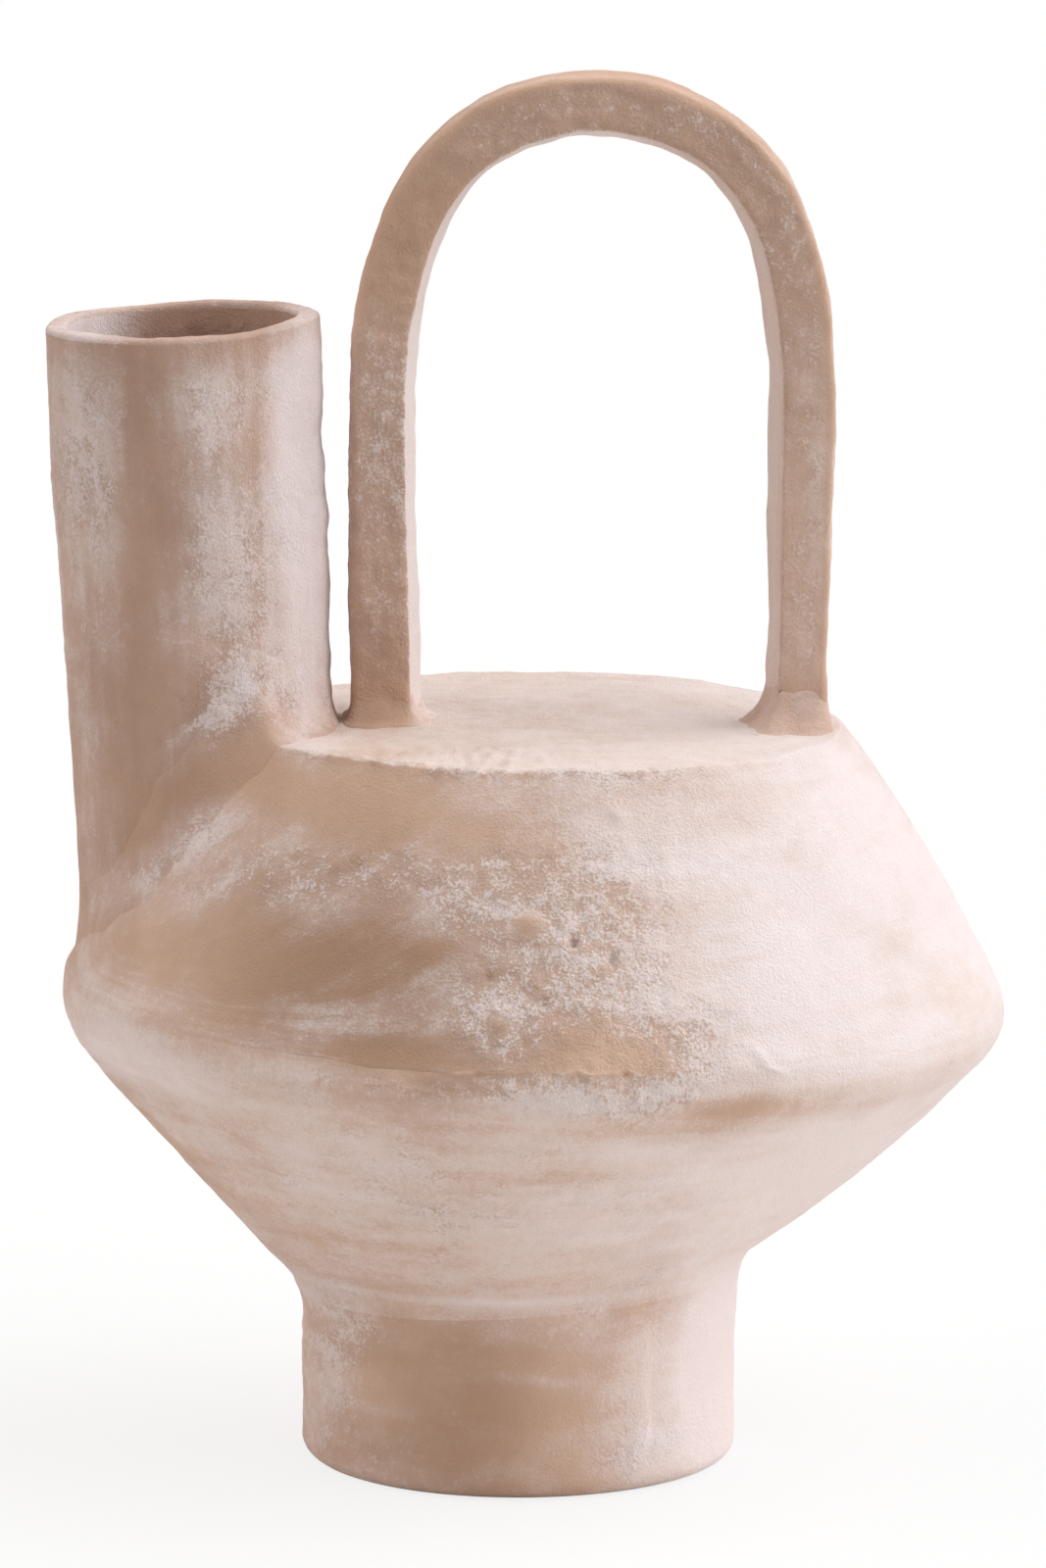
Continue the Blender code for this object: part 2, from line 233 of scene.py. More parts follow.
class ClayNoise:
    """Gradient noise on a cubic lattice: smooth, about -1 to 1, and the same at every run."""

    def __init__(self, seed: int) -> None:
        """Draws the lattice's order and slopes.

        Args:
            seed: Number that fixes the lattice.
        """
        source = np.random.default_rng(seed)
        self.order = source.permutation(LATTICE)
        self.slopes = unit(source.normal(size=(LATTICE, 3)))

    def at(self, places: Array, size: float) -> Array:
        """Noise at places, with swellings about as wide as a size.

        Each place blends the slopes of the eight lattice corners round it with a quintic ease.

        Args:
            places: Points, with X, Y and Z along the last axis.
            size: Lattice spacing in metres.

        Returns:
            One number for each place.
        """
        scaled = places / size + 37.21
        cell = np.floor(scaled).astype(np.int64)
        part = scaled - cell
        fade = part**3 * (part * (part * 6.0 - 15.0) + 10.0)
        total = np.zeros(places.shape[:-1])
        for corner in np.ndindex(2, 2, 2):
            spot = (cell + corner) % LATTICE
            index = self.order[spot[..., 0]]
            for axis in (1, 2):
                index = self.order[(index + spot[..., axis]) % LATTICE]
            weight = np.prod(np.where(corner, fade, 1.0 - fade), axis=-1)
            total += weight * np.sum(self.slopes[index] * (part - corner), axis=-1)
        return 1.7 * total


# Skins


@dataclass
class Skin:
    """A surface on a grid, with what the finish reads at each of its points.

    Attributes:
        places: Grid of points, rows by columns by three.
        strokes: Place of each point in the brush's own space, in which a stroke is as long as it is wide.
        wash: Cover of the chalky slip, about 0 to 1.5, raised in places on faces turned to the light as
            painted highlight.
        grit: Roughness of the clay's face, 0 for burnished to 1 for torn.
    """

    places: Array
    strokes: Array
    wash: Array
    grit: Array

    def grids(self) -> tuple[Array, ...]:
        """All its grids, in the order of the attributes."""
        return self.places, self.strokes, self.wash, self.grit

    def joined(self, other: "Skin") -> "Skin":
        """This skin with another one's columns added after its own."""
        return Skin(*(np.concatenate(pair, axis=1) for pair in zip(self.grids(), other.grids())))

    def columns(self, first: int, last: int) -> "Skin":
        """The columns from the first to the last, both taken in."""
        return Skin(*(grid[:, first : last + 1] for grid in self.grids()))

    def backwards(self) -> "Skin":
        """The same skin with its columns in the opposite order."""
        return Skin(*(grid[:, ::-1] for grid in self.grids()))


def grid_normals(places: Array, wrap_rows: bool, wrap_columns: bool) -> Array:
    """Normals of a grid: the cross product of its central differences along columns and rows.

    Args:
        places: Grid of points.
        wrap_rows: Whether the last row is next to the first.
        wrap_columns: Whether the last column is next to the first.

    Returns:
        Unit normals, on the side that rows crossed with columns give.
    """

    def difference(axis: int, wrap: bool) -> Array:
        """Central difference along one axis of the grid."""
        if wrap:
            return np.roll(places, -1, axis=axis) - np.roll(places, 1, axis=axis)
        return np.gradient(places, axis=axis)

    return unit(np.cross(difference(0, wrap_rows), difference(1, wrap_columns)))


def quads_of(rows: int, columns: int, closing: Closing) -> Array:
    """Corner numbers of the quads between a grid's neighbouring points, one row of four for each quad."""
    index = np.arange(rows * columns).reshape(rows, columns)
    if closing is not Closing.BAR:
        index = np.concatenate([index, index[:1]], axis=0)
    if closing is not Closing.DISC:
        index = np.concatenate([index, index[:, :1]], axis=1)
    corners = [index[:-1, :-1], index[1:, :-1], index[1:, 1:], index[:-1, 1:]]
    return np.stack([corner.ravel() for corner in corners], axis=1)


def enclosed(points: Array, quads: Array) -> float:
    """Six times the volume inside closed quads: the sum of the triple products of their two triangles."""
    corner = [points[quads[:, index]] for index in range(4)]
    halves = (np.cross(corner[1], corner[2]), np.cross(corner[2], corner[3]))
    return float(sum(np.sum(corner[0] * half) for half in halves))


def add_skin(piece: Piece, skin: Skin, closing: Closing) -> bpy.types.Object:
    """Makes a mesh object from a skin, welded at its poles and facing outwards.

    Args:
        piece: The piece that the object stands for.
        skin: Surface and finish values.
        closing: How the grid closes.

    Returns:
        The new object.
    """
    rows, columns = skin.places.shape[:2]
    points = skin.places.reshape(-1, 3)
    quads = quads_of(rows, columns, closing)
    if enclosed(points, quads) < 0:
        quads = quads[:, ::-1]
    mesh = bpy.data.meshes.new(piece.value + "_clay")
    mesh.vertices.add(len(points))
    mesh.vertices.foreach_set("co", points.astype(np.float32).ravel())
    mesh.loops.add(quads.size)
    mesh.loops.foreach_set("vertex_index", quads.astype(np.int32).ravel())
    mesh.polygons.add(len(quads))
    mesh.polygons.foreach_set("loop_start", np.arange(0, quads.size, 4, dtype=np.int32))
    mesh.update(calc_edges=True)
    strokes = mesh.attributes.new("strokes", "FLOAT_VECTOR", "POINT")
    strokes.data.foreach_set("vector", skin.strokes.astype(np.float32).ravel())
    for name, values in (("wash", skin.wash), ("grit", skin.grit)):
        layer = mesh.attributes.new(name, "FLOAT", "POINT")
        layer.data.foreach_set("value", values.astype(np.float32).ravel())
    if closing is not Closing.RING:
        shape = bmesh.new()
        shape.from_mesh(mesh)
        bmesh.ops.remove_doubles(shape, verts=shape.verts, dist=1e-7)
        shape.to_mesh(mesh)
        shape.free()
    mesh.shade_smooth()
    mesh.set_sharp_from_angle(angle=CRISP_ANGLE)
    item = bpy.data.objects.new(piece.value + "_clay", mesh)
    bpy.context.scene.collection.objects.link(item)
    return item


# The potter's hand


@dataclass(frozen=True)
class Patch:
    """A place on the front where the slip lies thick or thin, the clay is rough, or the face is raised.

    Attributes:
        x: Middle along X.
        z: Middle height.
        half_width: Reach along X.
        half_height: Reach in height.
        strength: How much it adds at its middle; below nothing it takes away.
        tilt: Turn of its width from level, in degrees, upwards to the right.
    """

    x: float
    z: float
    half_width: float
    half_height: float
    strength: float
    tilt: float = 0.0

    def at(self, places: Array) -> Array:
        """A bell over X and height, fading out behind the vase's middle plane."""
        right, rise = places[..., 0] - self.x, places[..., 2] - self.z
        cosine, sine = math.cos(math.radians(self.tilt)), math.sin(math.radians(self.tilt))
        across = ((right * cosine + rise * sine) / self.half_width) ** 2
        up = ((rise * cosine - right * sine) / self.half_height) ** 2
        return self.strength * np.exp(-across - up) * smooth_step(0.03, -0.01, places[..., 1])


WASH_PATCHES = (
    # Shoulder
    Patch(0.006, 0.166, 0.030, 0.020, 0.12),
    Patch(0.058, 0.142, 0.018, 0.010, 0.30),
    Patch(0.034, 0.141, 0.026, 0.009, -0.36),
    Patch(0.0028, 0.1706, 0.0044, 0.0030, -0.42),
    Patch(-0.0050, 0.1457, 0.0042, 0.0026, -0.45),
    Patch(-0.0233, 0.1635, 0.0068, 0.0032, -0.35),
    Patch(0.078, 0.170, 0.045, 0.034, 0.36),
    Patch(-0.060, 0.1765, 0.026, 0.0050, 0.02, 17.0),
    Patch(-0.052, 0.1445, 0.020, 0.0050, 0.28),
    Patch(-0.0070, 0.1442, 0.013, 0.0080, 0.40),
    Patch(-0.060, 0.1590, 0.038, 0.0110, -0.50, 4.0),
    Patch(-0.030, 0.1395, 0.060, 0.0050, -0.32),
    Patch(-0.042, 0.196, 0.042, 0.008, -0.40),
    Patch(-0.060, 0.2010, 0.014, 0.0100, -0.50),
    Patch(-0.092, 0.150, 0.022, 0.009, -0.25),
    Patch(-0.066, 0.137, 0.020, 0.005, 0.20),
    Patch(-0.097, 0.1755, 0.030, 0.0045, 0.26, 41.0),
    Patch(-0.086, 0.1985, 0.028, 0.0065, -0.40, 36.0),
    Patch(0.122, 0.140, 0.024, 0.024, 0.10),
    Patch(0.045, 0.188, 0.034, 0.010, 0.22),
    # Belly and lower cone
    Patch(-0.088, 0.123, 0.034, 0.008, 0.30),
    Patch(-0.010, 0.109, 0.040, 0.007, 0.22),
    Patch(0.021, 0.1262, 0.022, 0.0036, 0.34),
    Patch(0.068, 0.1222, 0.032, 0.0060, -0.60),
    Patch(-0.030, 0.103, 0.032, 0.008, 0.16),
    Patch(-0.004, 0.082, 0.050, 0.016, 0.26),
    Patch(-0.118, 0.132, 0.020, 0.020, 0.24),
    Patch(0.066, 0.098, 0.045, 0.022, 0.22),
    # Foot
    Patch(-0.050, 0.030, 0.010, 0.024, 0.28),
    Patch(0.000, 0.030, 0.034, 0.016, -0.30),
    Patch(-0.010, 0.012, 0.030, 0.008, -0.20),
    Patch(-0.008, 0.0570, 0.040, 0.0016, 0.40),
    Patch(0.008, 0.034, 0.014, 0.0030, 0.34, -6.0),
    Patch(0.034, 0.014, 0.014, 0.008, 0.28),
    Patch(-0.036, 0.016, 0.016, 0.012, 0.05),
    Patch(0.031, 0.030, 0.015, 0.030, 0.36),
    # Partly slip, partly painted highlight on the foot's right side, turned to the light.
    Patch(0.058, 0.030, 0.015, 0.036, 1.10),
    # Neck
    Patch(-0.121, 0.292, 0.012, 0.045, 0.22),
    Patch(-0.100, 0.270, 0.010, 0.060, -0.22),
    Patch(-0.080, 0.260, 0.009, 0.055, 0.28),
    Patch(-0.0715, 0.275, 0.0026, 0.045, -0.26),
    Patch(-0.090, 0.302, 0.010, 0.010, 0.22),
    Patch(-0.094, 0.246, 0.010, 0.014, 0.20),
    Patch(-0.076, 0.288, 0.007, 0.009, -0.22),
    Patch(-0.082, 0.236, 0.006, 0.007, -0.20),
    # Partly slip, partly painted light on the neck's right band, turned to the light.
    Patch(-0.0580, 0.270, 0.0090, 0.080, 0.95),
    Patch(-0.122, 0.270, 0.010, 0.060, 0.16),
    Patch(-0.088, 0.213, 0.009, 0.0024, 0.38, 32.0),
    Patch(-0.076, 0.221, 0.004, 0.009, 0.30),
    Patch(-0.104, 0.210, 0.014, 0.030, -0.32),
    # Handle
    Patch(-0.038, 0.215, 0.012, 0.016, -0.36),
    Patch(-0.030, 0.345, 0.022, 0.022, -0.34),
    Patch(0.055, 0.372, 0.030, 0.018, 0.12),
)

GRIT_PATCHES = (
    # Shoulder
    Patch(0.008, 0.165, 0.028, 0.020, 0.95),
    Patch(-0.030, 0.182, 0.050, 0.008, 0.45),
    Patch(0.040, 0.140, 0.024, 0.010, 0.80),
    Patch(-0.006, 0.1442, 0.014, 0.0080, 0.90),
    Patch(-0.060, 0.1765, 0.030, 0.0070, 0.50, 17.0),
    Patch(-0.052, 0.1445, 0.020, 0.0050, 0.50),
    Patch(-0.040, 0.150, 0.020, 0.018, -0.60),
    Patch(-0.092, 0.150, 0.022, 0.009, -0.60),
    Patch(-0.096, 0.176, 0.030, 0.0050, 0.22, 41.0),
    Patch(0.0028, 0.1706, 0.0044, 0.0030, -1.40),
    Patch(-0.0050, 0.1457, 0.0042, 0.0026, -1.40),
    Patch(-0.0233, 0.1635, 0.0068, 0.0032, -1.20),
    # Belly and lower cone
    Patch(0.000, 0.090, 0.090, 0.030, 0.18),
    Patch(0.021, 0.1262, 0.022, 0.0036, 0.75),
    Patch(-0.020, 0.1310, 0.034, 0.0036, 0.80),
    # Foot
    Patch(-0.045, 0.040, 0.014, 0.014, 0.60),
    Patch(0.000, 0.028, 0.036, 0.020, -0.40),
    Patch(0.032, 0.013, 0.014, 0.008, 0.60),
    Patch(-0.036, 0.014, 0.016, 0.010, 0.50),
    # Neck
    Patch(-0.100, 0.270, 0.040, 0.070, 0.12),
    Patch(-0.080, 0.258, 0.012, 0.046, 0.28),
    Patch(-0.100, 0.262, 0.006, 0.050, -0.30),
    Patch(-0.116, 0.285, 0.012, 0.030, 0.25),
    Patch(-0.083, 0.218, 0.014, 0.010, 0.70),
    # Handle
    Patch(-0.039, 0.270, 0.014, 0.050, 0.75),
    Patch(0.060, 0.362, 0.036, 0.022, 0.50),
)

RELIEF_PATCHES = (
    # Shoulder
    Patch(0.0028, 0.1706, 0.0042, 0.0028, 0.00110),
    Patch(-0.0050, 0.1457, 0.0040, 0.0024, 0.00090),
    Patch(-0.0070, 0.1418, 0.0100, 0.0013, 0.00070, 8.0),
    Patch(-0.0233, 0.1635, 0.0064, 0.0030, 0.00045),
    Patch(0.0148, 0.1663, 0.0014, 0.0012, -0.00240),
    Patch(0.0250, 0.1621, 0.0014, 0.0012, -0.00220),
    Patch(-0.0080, 0.1580, 0.0013, 0.0011, -0.00150),
    Patch(0.0065, 0.1520, 0.0013, 0.0011, -0.00130),
    Patch(0.0650, 0.1356, 0.0040, 0.0010, 0.00060, -56.0),
    Patch(0.0600, 0.1395, 0.0026, 0.0016, 0.00050, -40.0),
    Patch(0.0260, 0.1975, 0.0034, 0.0018, 0.00080, -30.0),
    Patch(0.0400, 0.1960, 0.0028, 0.0010, 0.00060, 35.0),
    # Belly and lower cone
    Patch(0.0690, 0.1320, 0.0030, 0.0009, 0.00060, -30.0),
    Patch(-0.0247, 0.1292, 0.0130, 0.0010, 0.00100, -6.0),
    Patch(-0.0180, 0.1318, 0.0036, 0.0016, 0.00090, 20.0),
    Patch(-0.0010, 0.1302, 0.0030, 0.0014, 0.00080, -15.0),
    Patch(-0.0340, 0.1312, 0.0040, 0.0013, 0.00080, 12.0),
    Patch(-0.0070, 0.1278, 0.0090, 0.0009, 0.00085, 3.0),
)


@dataclass(frozen=True)
class PottersHand:
    """How the vase was set and pressed: its seams out of true, its walls lumpy, its slip brushed on unevenly.

    Attributes:
        heights: Heights of the foot's base, its top, the belly and the deck.
        shifts: How far off the axis each of them lies along X.
        slopes: How far each of them rises along X.
        lumps: Swellings of the clay as pairs of width and depth.
        strokes: Brush marks as pairs of width and depth, in the brush's own space.
        grains: Torn grain as pairs of width and depth, where the clay is rough.
    """

    heights: tuple[float, ...] = (0.0, 0.0527, 0.1272, 0.2081)
    shifts: tuple[float, ...] = (0.0, 0.0, 0.0045, 0.0057)
    slopes: tuple[float, ...] = (0.0, 0.0524, -0.0209, -0.0122)
    lumps: Pairs = ((0.062, 0.0009), (0.027, 0.00045), (0.011, 0.00022), (0.0055, 0.00009))
    strokes: Pairs = ((0.0052, 0.00010), (0.0024, 0.00005))
    grains: Pairs = ((0.0075, 0.00046), (0.0042, 0.00050), (0.0026, 0.00036))
    noise: ClayNoise = field(default_factory=lambda: ClayNoise(11))

    def settle(self, places: Array) -> Array:
        """Moves turned places to where the hand set them: along X by the shift and up by slope times X."""
        shift = np.interp(places[..., 2], self.heights, self.shifts)
        slope = np.interp(places[..., 2], self.heights, self.slopes)
        return np.stack(
            [places[..., 0] + shift, places[..., 1], places[..., 2] + slope * places[..., 0]], axis=-1
        )

    def pressed(
        self, places: Array, normals: Array, strokes: Array, grit: Array, share: float = 1.0
    ) -> Array:
        """Pushes places along their normals by the lumps, the brush marks and the torn grain.

        Args:
            places: Points of the true form.
            normals: Unit normals, out of the clay.
            strokes: Places in the brush's own space.
            grit: Roughness of the clay's face.
            share: How much of the relief to use.

        Returns:
            The moved points.
        """
        height = self.relief(places, self.lumps) + self.relief(strokes, self.strokes)
        height = height + sum(patch.at(places) for patch in RELIEF_PATCHES)
        torn = self.relief(places, self.grains)
        return places + normals * (share * (height + grit * torn))[..., None]

    def relief(self, places: Array, layers: Pairs) -> Array:
        """Layers of noise added up, each with its width and depth."""
        return sum(depth * self.noise.at(places, width) for width, depth in layers)

    def brushed(self, places: Array, strokes: Array) -> Array:
        """Cover of the slip: wide drifts, longer strokes, the thick and bare places, and more towards +X, a
        painted highlight on the side that the key light falls on.
        """
        drift = 0.20 * self.noise.at(places + 0.31, 0.055) + 0.09 * self.noise.at(places + 0.77, 0.022)
        stroke = 0.14 * self.noise.at(strokes + 0.5, 0.0085) + 0.09 * self.noise.at(strokes + 0.9, 0.0038)
        placed = sum(patch.at(places) for patch in WASH_PATCHES)
        # Painted highlight: more slip towards +X, where the light from the right falls.
        painted_light_right = 0.42 * smooth_step(0.0, 0.10, places[..., 0])
        return np.clip(0.55 + drift + stroke + placed + painted_light_right, 0.0, 1.4)

    def torn(self, places: Array, wash: Array) -> Array:
        """Roughness of the clay's face: rough under thick slip, in some drifts, and at the placed patches."""
        drift = 0.5 + 0.5 * self.noise.at(places + 1.9, 0.030)
        placed = sum(patch.at(places) for patch in GRIT_PATCHES)
        plain = 1.0 - 0.75 * smooth_step(0.035, 0.085, places[..., 0])
        return np.clip((0.36 * smooth_step(0.30, 0.75, wash) * drift + placed) * plain, 0.0, 1.0)


# Body


class Side(Enum):
    """The body's four sides, with the way each one faces in plan."""

    RIGHT = (1.0, 0.0)
    BACK = (0.0, 1.0)
    LEFT = (-1.0, 0.0)
    FRONT = (0.0, -1.0)

    def share(self, angle: Array) -> Array:
        """How far a place at an angle belongs to this side: the squared cosine of the angle between them."""
        return np.maximum(np.cos(angle) * self.value[0] + np.sin(angle) * self.value[1], 0.0) ** 2


@dataclass(frozen=True)
class Profile:
    """How the belly is turned over on one side of the body.

    Attributes:
        lift: Height of the crease above the point where the two cones would meet.
        lean: How far the belly swells out below the crease.
        fold: Rounding of the crease.
        roll: Rounding of the belly below it.
        lower_swell: How far the lower cone swells past a straight line.
        upper_swell: How far the upper cone swells past a straight line.
        reach: How far the crease is pushed out past the upper cone's line.
    """

    lift: float = 0.0074
    lean: float = 0.0005
    fold: float = 0.010
    roll: float = 0.015
    lower_swell: float = 0.0010
    upper_swell: float = 0.0010
    reach: float = 0.0


PROFILES = {
    Side.RIGHT: Profile(
        lift=0.0080, lean=-0.0004, fold=0.016, roll=0.018, lower_swell=0.0038, upper_swell=0.0018
    ),
    Side.BACK: Profile(),
    Side.LEFT: Profile(lift=0.0100, lean=0.0004, fold=0.013, roll=0.017, lower_swell=0.0003, reach=0.0029),
    Side.FRONT: Profile(lift=0.0070, fold=0.0044, roll=0.012, lower_swell=0.0016),
}


@dataclass(frozen=True)
class CrumbLine:
    """Crumbs of clay left along the front of one seam.

    Attributes:
        seam: The seam that they lie along.
        middle: Middle of the line along X.
        half: Its reach along X.
        reach: How far the crumbs lie from the seam.
        depth: How far they stand proud.
        step: Height of the ragged step under them.
    """

    seam: Seam
    middle: float
    half: float
    reach: float
    depth: float
    step: float


CRUMB_LINES = (
    CrumbLine(Seam.CREASE, -0.008, 0.052, 0.0030, 0.0017, 0.00010),
    CrumbLine(Seam.DECK_EDGE, -0.010, 0.056, 0.0019, 0.0017, 0.00022),
)


@dataclass
class VaseBody:
    """The turned body: floor, foot, two cones and deck, each a slab with bevelled seams.

    Attributes:
        corners: Sharp corners of the outer outline as radius and height: foot, its top, belly, deck's edge.
        edges: Rounding of the foot's edge, of the foot's top and of the deck's edge.
        least_rounding: Smallest rounding that is left inside the clay.
        arcs: Length that is given to a short arc and to a long one when points are shared out.
        wall: Thickness of the slabs.
        floor: Thickness of the floor slab.
        around: Number of steps round the body, closer together at the front.
        spacing: Distance between points up the outer face.
        coarser: How many times wider the spacing is on the hidden inner face.
        brush_radius: Radius of the body in the brush's own space.
    """

    hand: PottersHand
    corners: Pairs = ((0.0607, 0.0), (0.0607, 0.0527), (0.1355, 0.1272), (0.0842, 0.2081))
    edges: tuple[float, ...] = (0.0052, 0.022, 0.0024)
    least_rounding: float = 0.0012
    arcs: tuple[float, float] = (0.0085, 0.012)
    wall: float = 0.007
    floor: float = 0.009
    around: int = 560
    spacing: float = 0.00105
    coarser: float = 4.4
    brush_radius: float = 0.022

    def sharp(self, profile: Profile) -> Array:
        """Sharp outline of one side, from the axis under the foot to the axis on the deck.

        The crease lies on the upper cone's line, lifted from where the cones meet, and the belly's lower
        corner lies on the lower cone's line, a little further out.

        Args:
            profile: How the belly is turned over on that side.

        Returns:
            Radius and height of the seven corners.
        """
        foot, top, belly, deck = np.array(self.corners)
        crease = belly + (deck - belly) * profile.lift / (deck[1] - belly[1]) + (profile.reach, 0.0)
        low = top + (belly - top) * (crease[0] + profile.lean - top[0]) / (belly[0] - top[0])
        return np.array([(0.0, foot[1]), foot, top, low, crease, deck, (0.0, deck[1])])

    def outline(self, profile: Profile, depth: float, spacing: float) -> tuple[Array, list[int]]:
        """Rounded outline of one side at a depth inside the clay, and where its seams fall.

        Straight runs join arcs, a cone's run swells by a sine of its length, and a seam is the middle of an
        arc. Every side has the same number of points.

        Args:
            profile: How the belly is turned over on that side.
            depth: Distance inside the outer face.
            spacing: Distance between points.

        Returns:
            Radius and height of each point from the foot's underside to the deck's middle, and the columns
            of the seams.
        """
        sharp = self.sharp(profile)
        ahead = unit(np.diff(sharp, axis=0))
        inwards = np.stack([-ahead[:, 1], ahead[:, 0]], axis=1)
        scale = depth / (1.0 + np.sum(inwards[:-1] * inwards[1:], axis=1))
        moved = sharp.copy()
        moved[1:-1] += (inwards[:-1] + inwards[1:]) * scale[:, None]
        moved[-1, 1] -= depth
        moved[0] = (self.corners[0][0] - self.wall, 0.0)
        if depth > 0:
            moved[0] = (moved[1, 0], 0.0002)
            moved[1, 1] = 0.0005
        roundings = (self.edges[0], self.edges[1], profile.roll, profile.fold, self.edges[2])
        swells = (0.0, 0.0, profile.lower_swell, 0.0, profile.upper_swell)
        base = np.linalg.norm(np.diff(self.sharp(Profile()), axis=0), axis=1)
        base[0] = self.wall
        runs: list[Array] = []
        seams: list[int] = []
        count = 0
        last = moved[0]
        for seam, radius, swell in zip(Seam, roundings, swells):
            hollow = 1.0 if seam is Seam.FOOT_TOP else -1.0
            long_arc = seam in (Seam.FOOT_TOP, Seam.BELLY)
            steps = 2 * max(2, round(self.arcs[long_arc] / spacing * 0.6))
            steps = 0 if depth > 0 and seam is Seam.FOOT_EDGE else steps
            rounding = max(radius + hollow * depth, self.least_rounding)
            arc = corner_arc(*moved[seam : seam + 3], rounding, steps)
            run = self.straight(last, arc[0], max(2, round(base[seam] / spacing)), swell)
            run = run if seam is Seam.FOOT_EDGE else run[1:]
            seams.append(count + len(run) + steps // 2)
            runs += [run, arc]
            count += len(run) + len(arc)
            last = arc[-1]
        runs.append(self.straight(last, moved[-1], max(2, round(base[-1] / spacing)), 0.0)[1:])
        runs.append(moved[-1:])
        return np.concatenate(runs), seams

    def straight(self, start: Array, end: Array, count: int, swell: float) -> Array:
        """Points from a start towards an end, leaving the end out, swelled out by a sine of the length."""
        part = np.arange(count)[:, None] / count
        ahead = unit(end - start)
        outwards = np.array([ahead[1], -ahead[0]])
        return start + (end - start) * part + outwards * swell * np.sin(math.pi * part)

    def turned(self, angle: Array, depth: float, spacing: float) -> tuple[Array, list[int]]:
        """Radius and height of the face at each angle: the four sides' outlines blended by their shares."""
        outlines = {side: self.outline(profile, depth, spacing) for side, profile in PROFILES.items()}
        blended = sum(side.share(angle)[:, None, None] * line for side, (line, _) in outlines.items())
        return blended, outlines[Side.FRONT][1]

    def skin(self, depth: float, spacing: float) -> tuple[Skin, list[int]]:
        """The whole face at a depth inside the clay: the outline turned about Z, settled and pressed.

        Args:
            depth: Distance inside the outer face.
            spacing: Distance between points up the face.

        Returns:
            The face with rows round the body and columns from foot to deck, and the columns of its seams.
        """
        turn = steps_round(self.around)
        angle = turn - 0.5 * np.cos(turn)
        line, seams = self.turned(angle, depth, spacing)
        run = lengths_along(line[0])
        places = self.hand.settle(round_axis(angle[:, None], line[..., 0], line[..., 1]))
        if depth == 0:
            places[..., 2] += self.waves(angle, run, seams)
        normals = grid_normals(places, True, False)
        normals[:, -2:] = (0.0, 0.0, 1.0)
        if depth > 0:
            normals = -normals
        swept = 0.7 * np.minimum(places[..., 0] + 0.02, 0.0) * smooth_step(-0.01, -0.05, places[..., 1])
        swept = swept * smooth_step(0.0, 0.025, run - run[seams[Seam.CREASE]])[None, :]
        strokes = round_axis(angle[:, None], self.brush_radius, run[None, :] - swept)
        wash = self.hand.brushed(places, strokes)
        grit = self.hand.torn(places, wash)
        if depth == 0:
            places = places + normals * self.crumbs(places, run, seams)[..., None]
            rim = seams[Seam.DECK_EDGE]
            deck = smooth_step(rim - 2, rim + 4, np.arange(len(run)))[None, :]
            edge = bell(run - run[rim], 0.0040)[None, :] * smooth_step(-0.03, -0.06, places[..., 1])
            edge = edge * smooth_step(0.06, 0.03, places[..., 0])
            grit = grit * (1.0 - 0.85 * deck) + 0.16 * deck + 0.5 * edge
            wash = wash * (1.0 - 0.5 * deck) + 0.32 * deck
        settled = smooth_step(0.0, 0.004, places[..., 2])
        pushed = self.hand.pressed(places, normals, strokes, grit)
        places = places + (pushed - places) * settled[..., None]
        return Skin(places, strokes, wash, grit), seams

    def waves(self, angle: Array, run: Array, seams: Sequence[int]) -> Array:
        """How far the crease and the deck's edge rise and fall: noise round the body, fading off the seams.

        Args:
            angle: Angle of each row.
            run: Distance of each column along the outline.
            seams: Columns of the seams.

        Returns:
            Heights to add.
        """
        ring = round_axis(angle, 0.1, 0.0)
        wave = self.hand.noise.at(ring, 0.024) + 0.6 * self.hand.noise.at(ring + 0.3, 0.009)
        heights = {Seam.CREASE: 0.0009, Seam.DECK_EDGE: 0.0005}
        near = sum(height * bell(run - run[seams[seam]], 0.009) for seam, height in heights.items())
        return wave[:, None] * near[None, :]

    def crumbs(self, places: Array, run: Array, seams: Sequence[int]) -> Array:
        """Crumbs along the crease and the deck's edge, the foot's lap, and what was left on the deck.

        Crumbs are noise above a mark, fading away from each seam, on a small ragged step. The lap rises
        slowly along X and ends sharply. The deck has a comb's ripples, which are noise drawn out along Y, a
        crack and a flake.

        Args:
            places: Points of the face.
            run: Distance of each column along the outline.
            seams: Columns of the seams.

        Returns:
            Heights to add along the normals.
        """
        noise = self.hand.noise.at
        x, y, z = np.moveaxis(places, -1, 0)
        broken = smooth_step(-0.05, 0.45, noise(places + 2.3, 0.013))
        front = smooth_step(-0.02, -0.06, y)
        ragged = 0.0022 * noise(places + 4.7, 0.0075)
        grain = 0.2 + 0.9 * noise(places + 3.1, 0.0032) + 0.5 * noise(places, 0.0020)
        total = np.zeros(places.shape[:2])
        for line in CRUMB_LINES:
            past = (run - run[seams[line.seam]])[None, :] + ragged
            along = front * bell(x - line.middle, line.half, 4)
            total += bell(past, line.reach) * broken * along * grain * line.depth
            total += line.step * along * bell(past, 0.0045) * np.tanh(past / 0.0009)
        across = x + 0.0016 * noise(places + 7.3, 0.012)
        lap = smooth_step(0.010, 0.0330, across) * smooth_step(0.0368, 0.0335, across)
        total += 0.0010 * lap * front * smooth_step(0.052, 0.040, z) * smooth_step(0.008, 0.020, z)
        rim = seams[Seam.DECK_EDGE]
        deck = smooth_step(rim + 2, rim + 9, np.arange(len(run)))[None, :]
        comb = bell(x + 0.022, 0.030) * smooth_step(-0.035, -0.055, y)
        comb = comb * noise(places * (2.4, 0.6, 1.0), 0.0075)
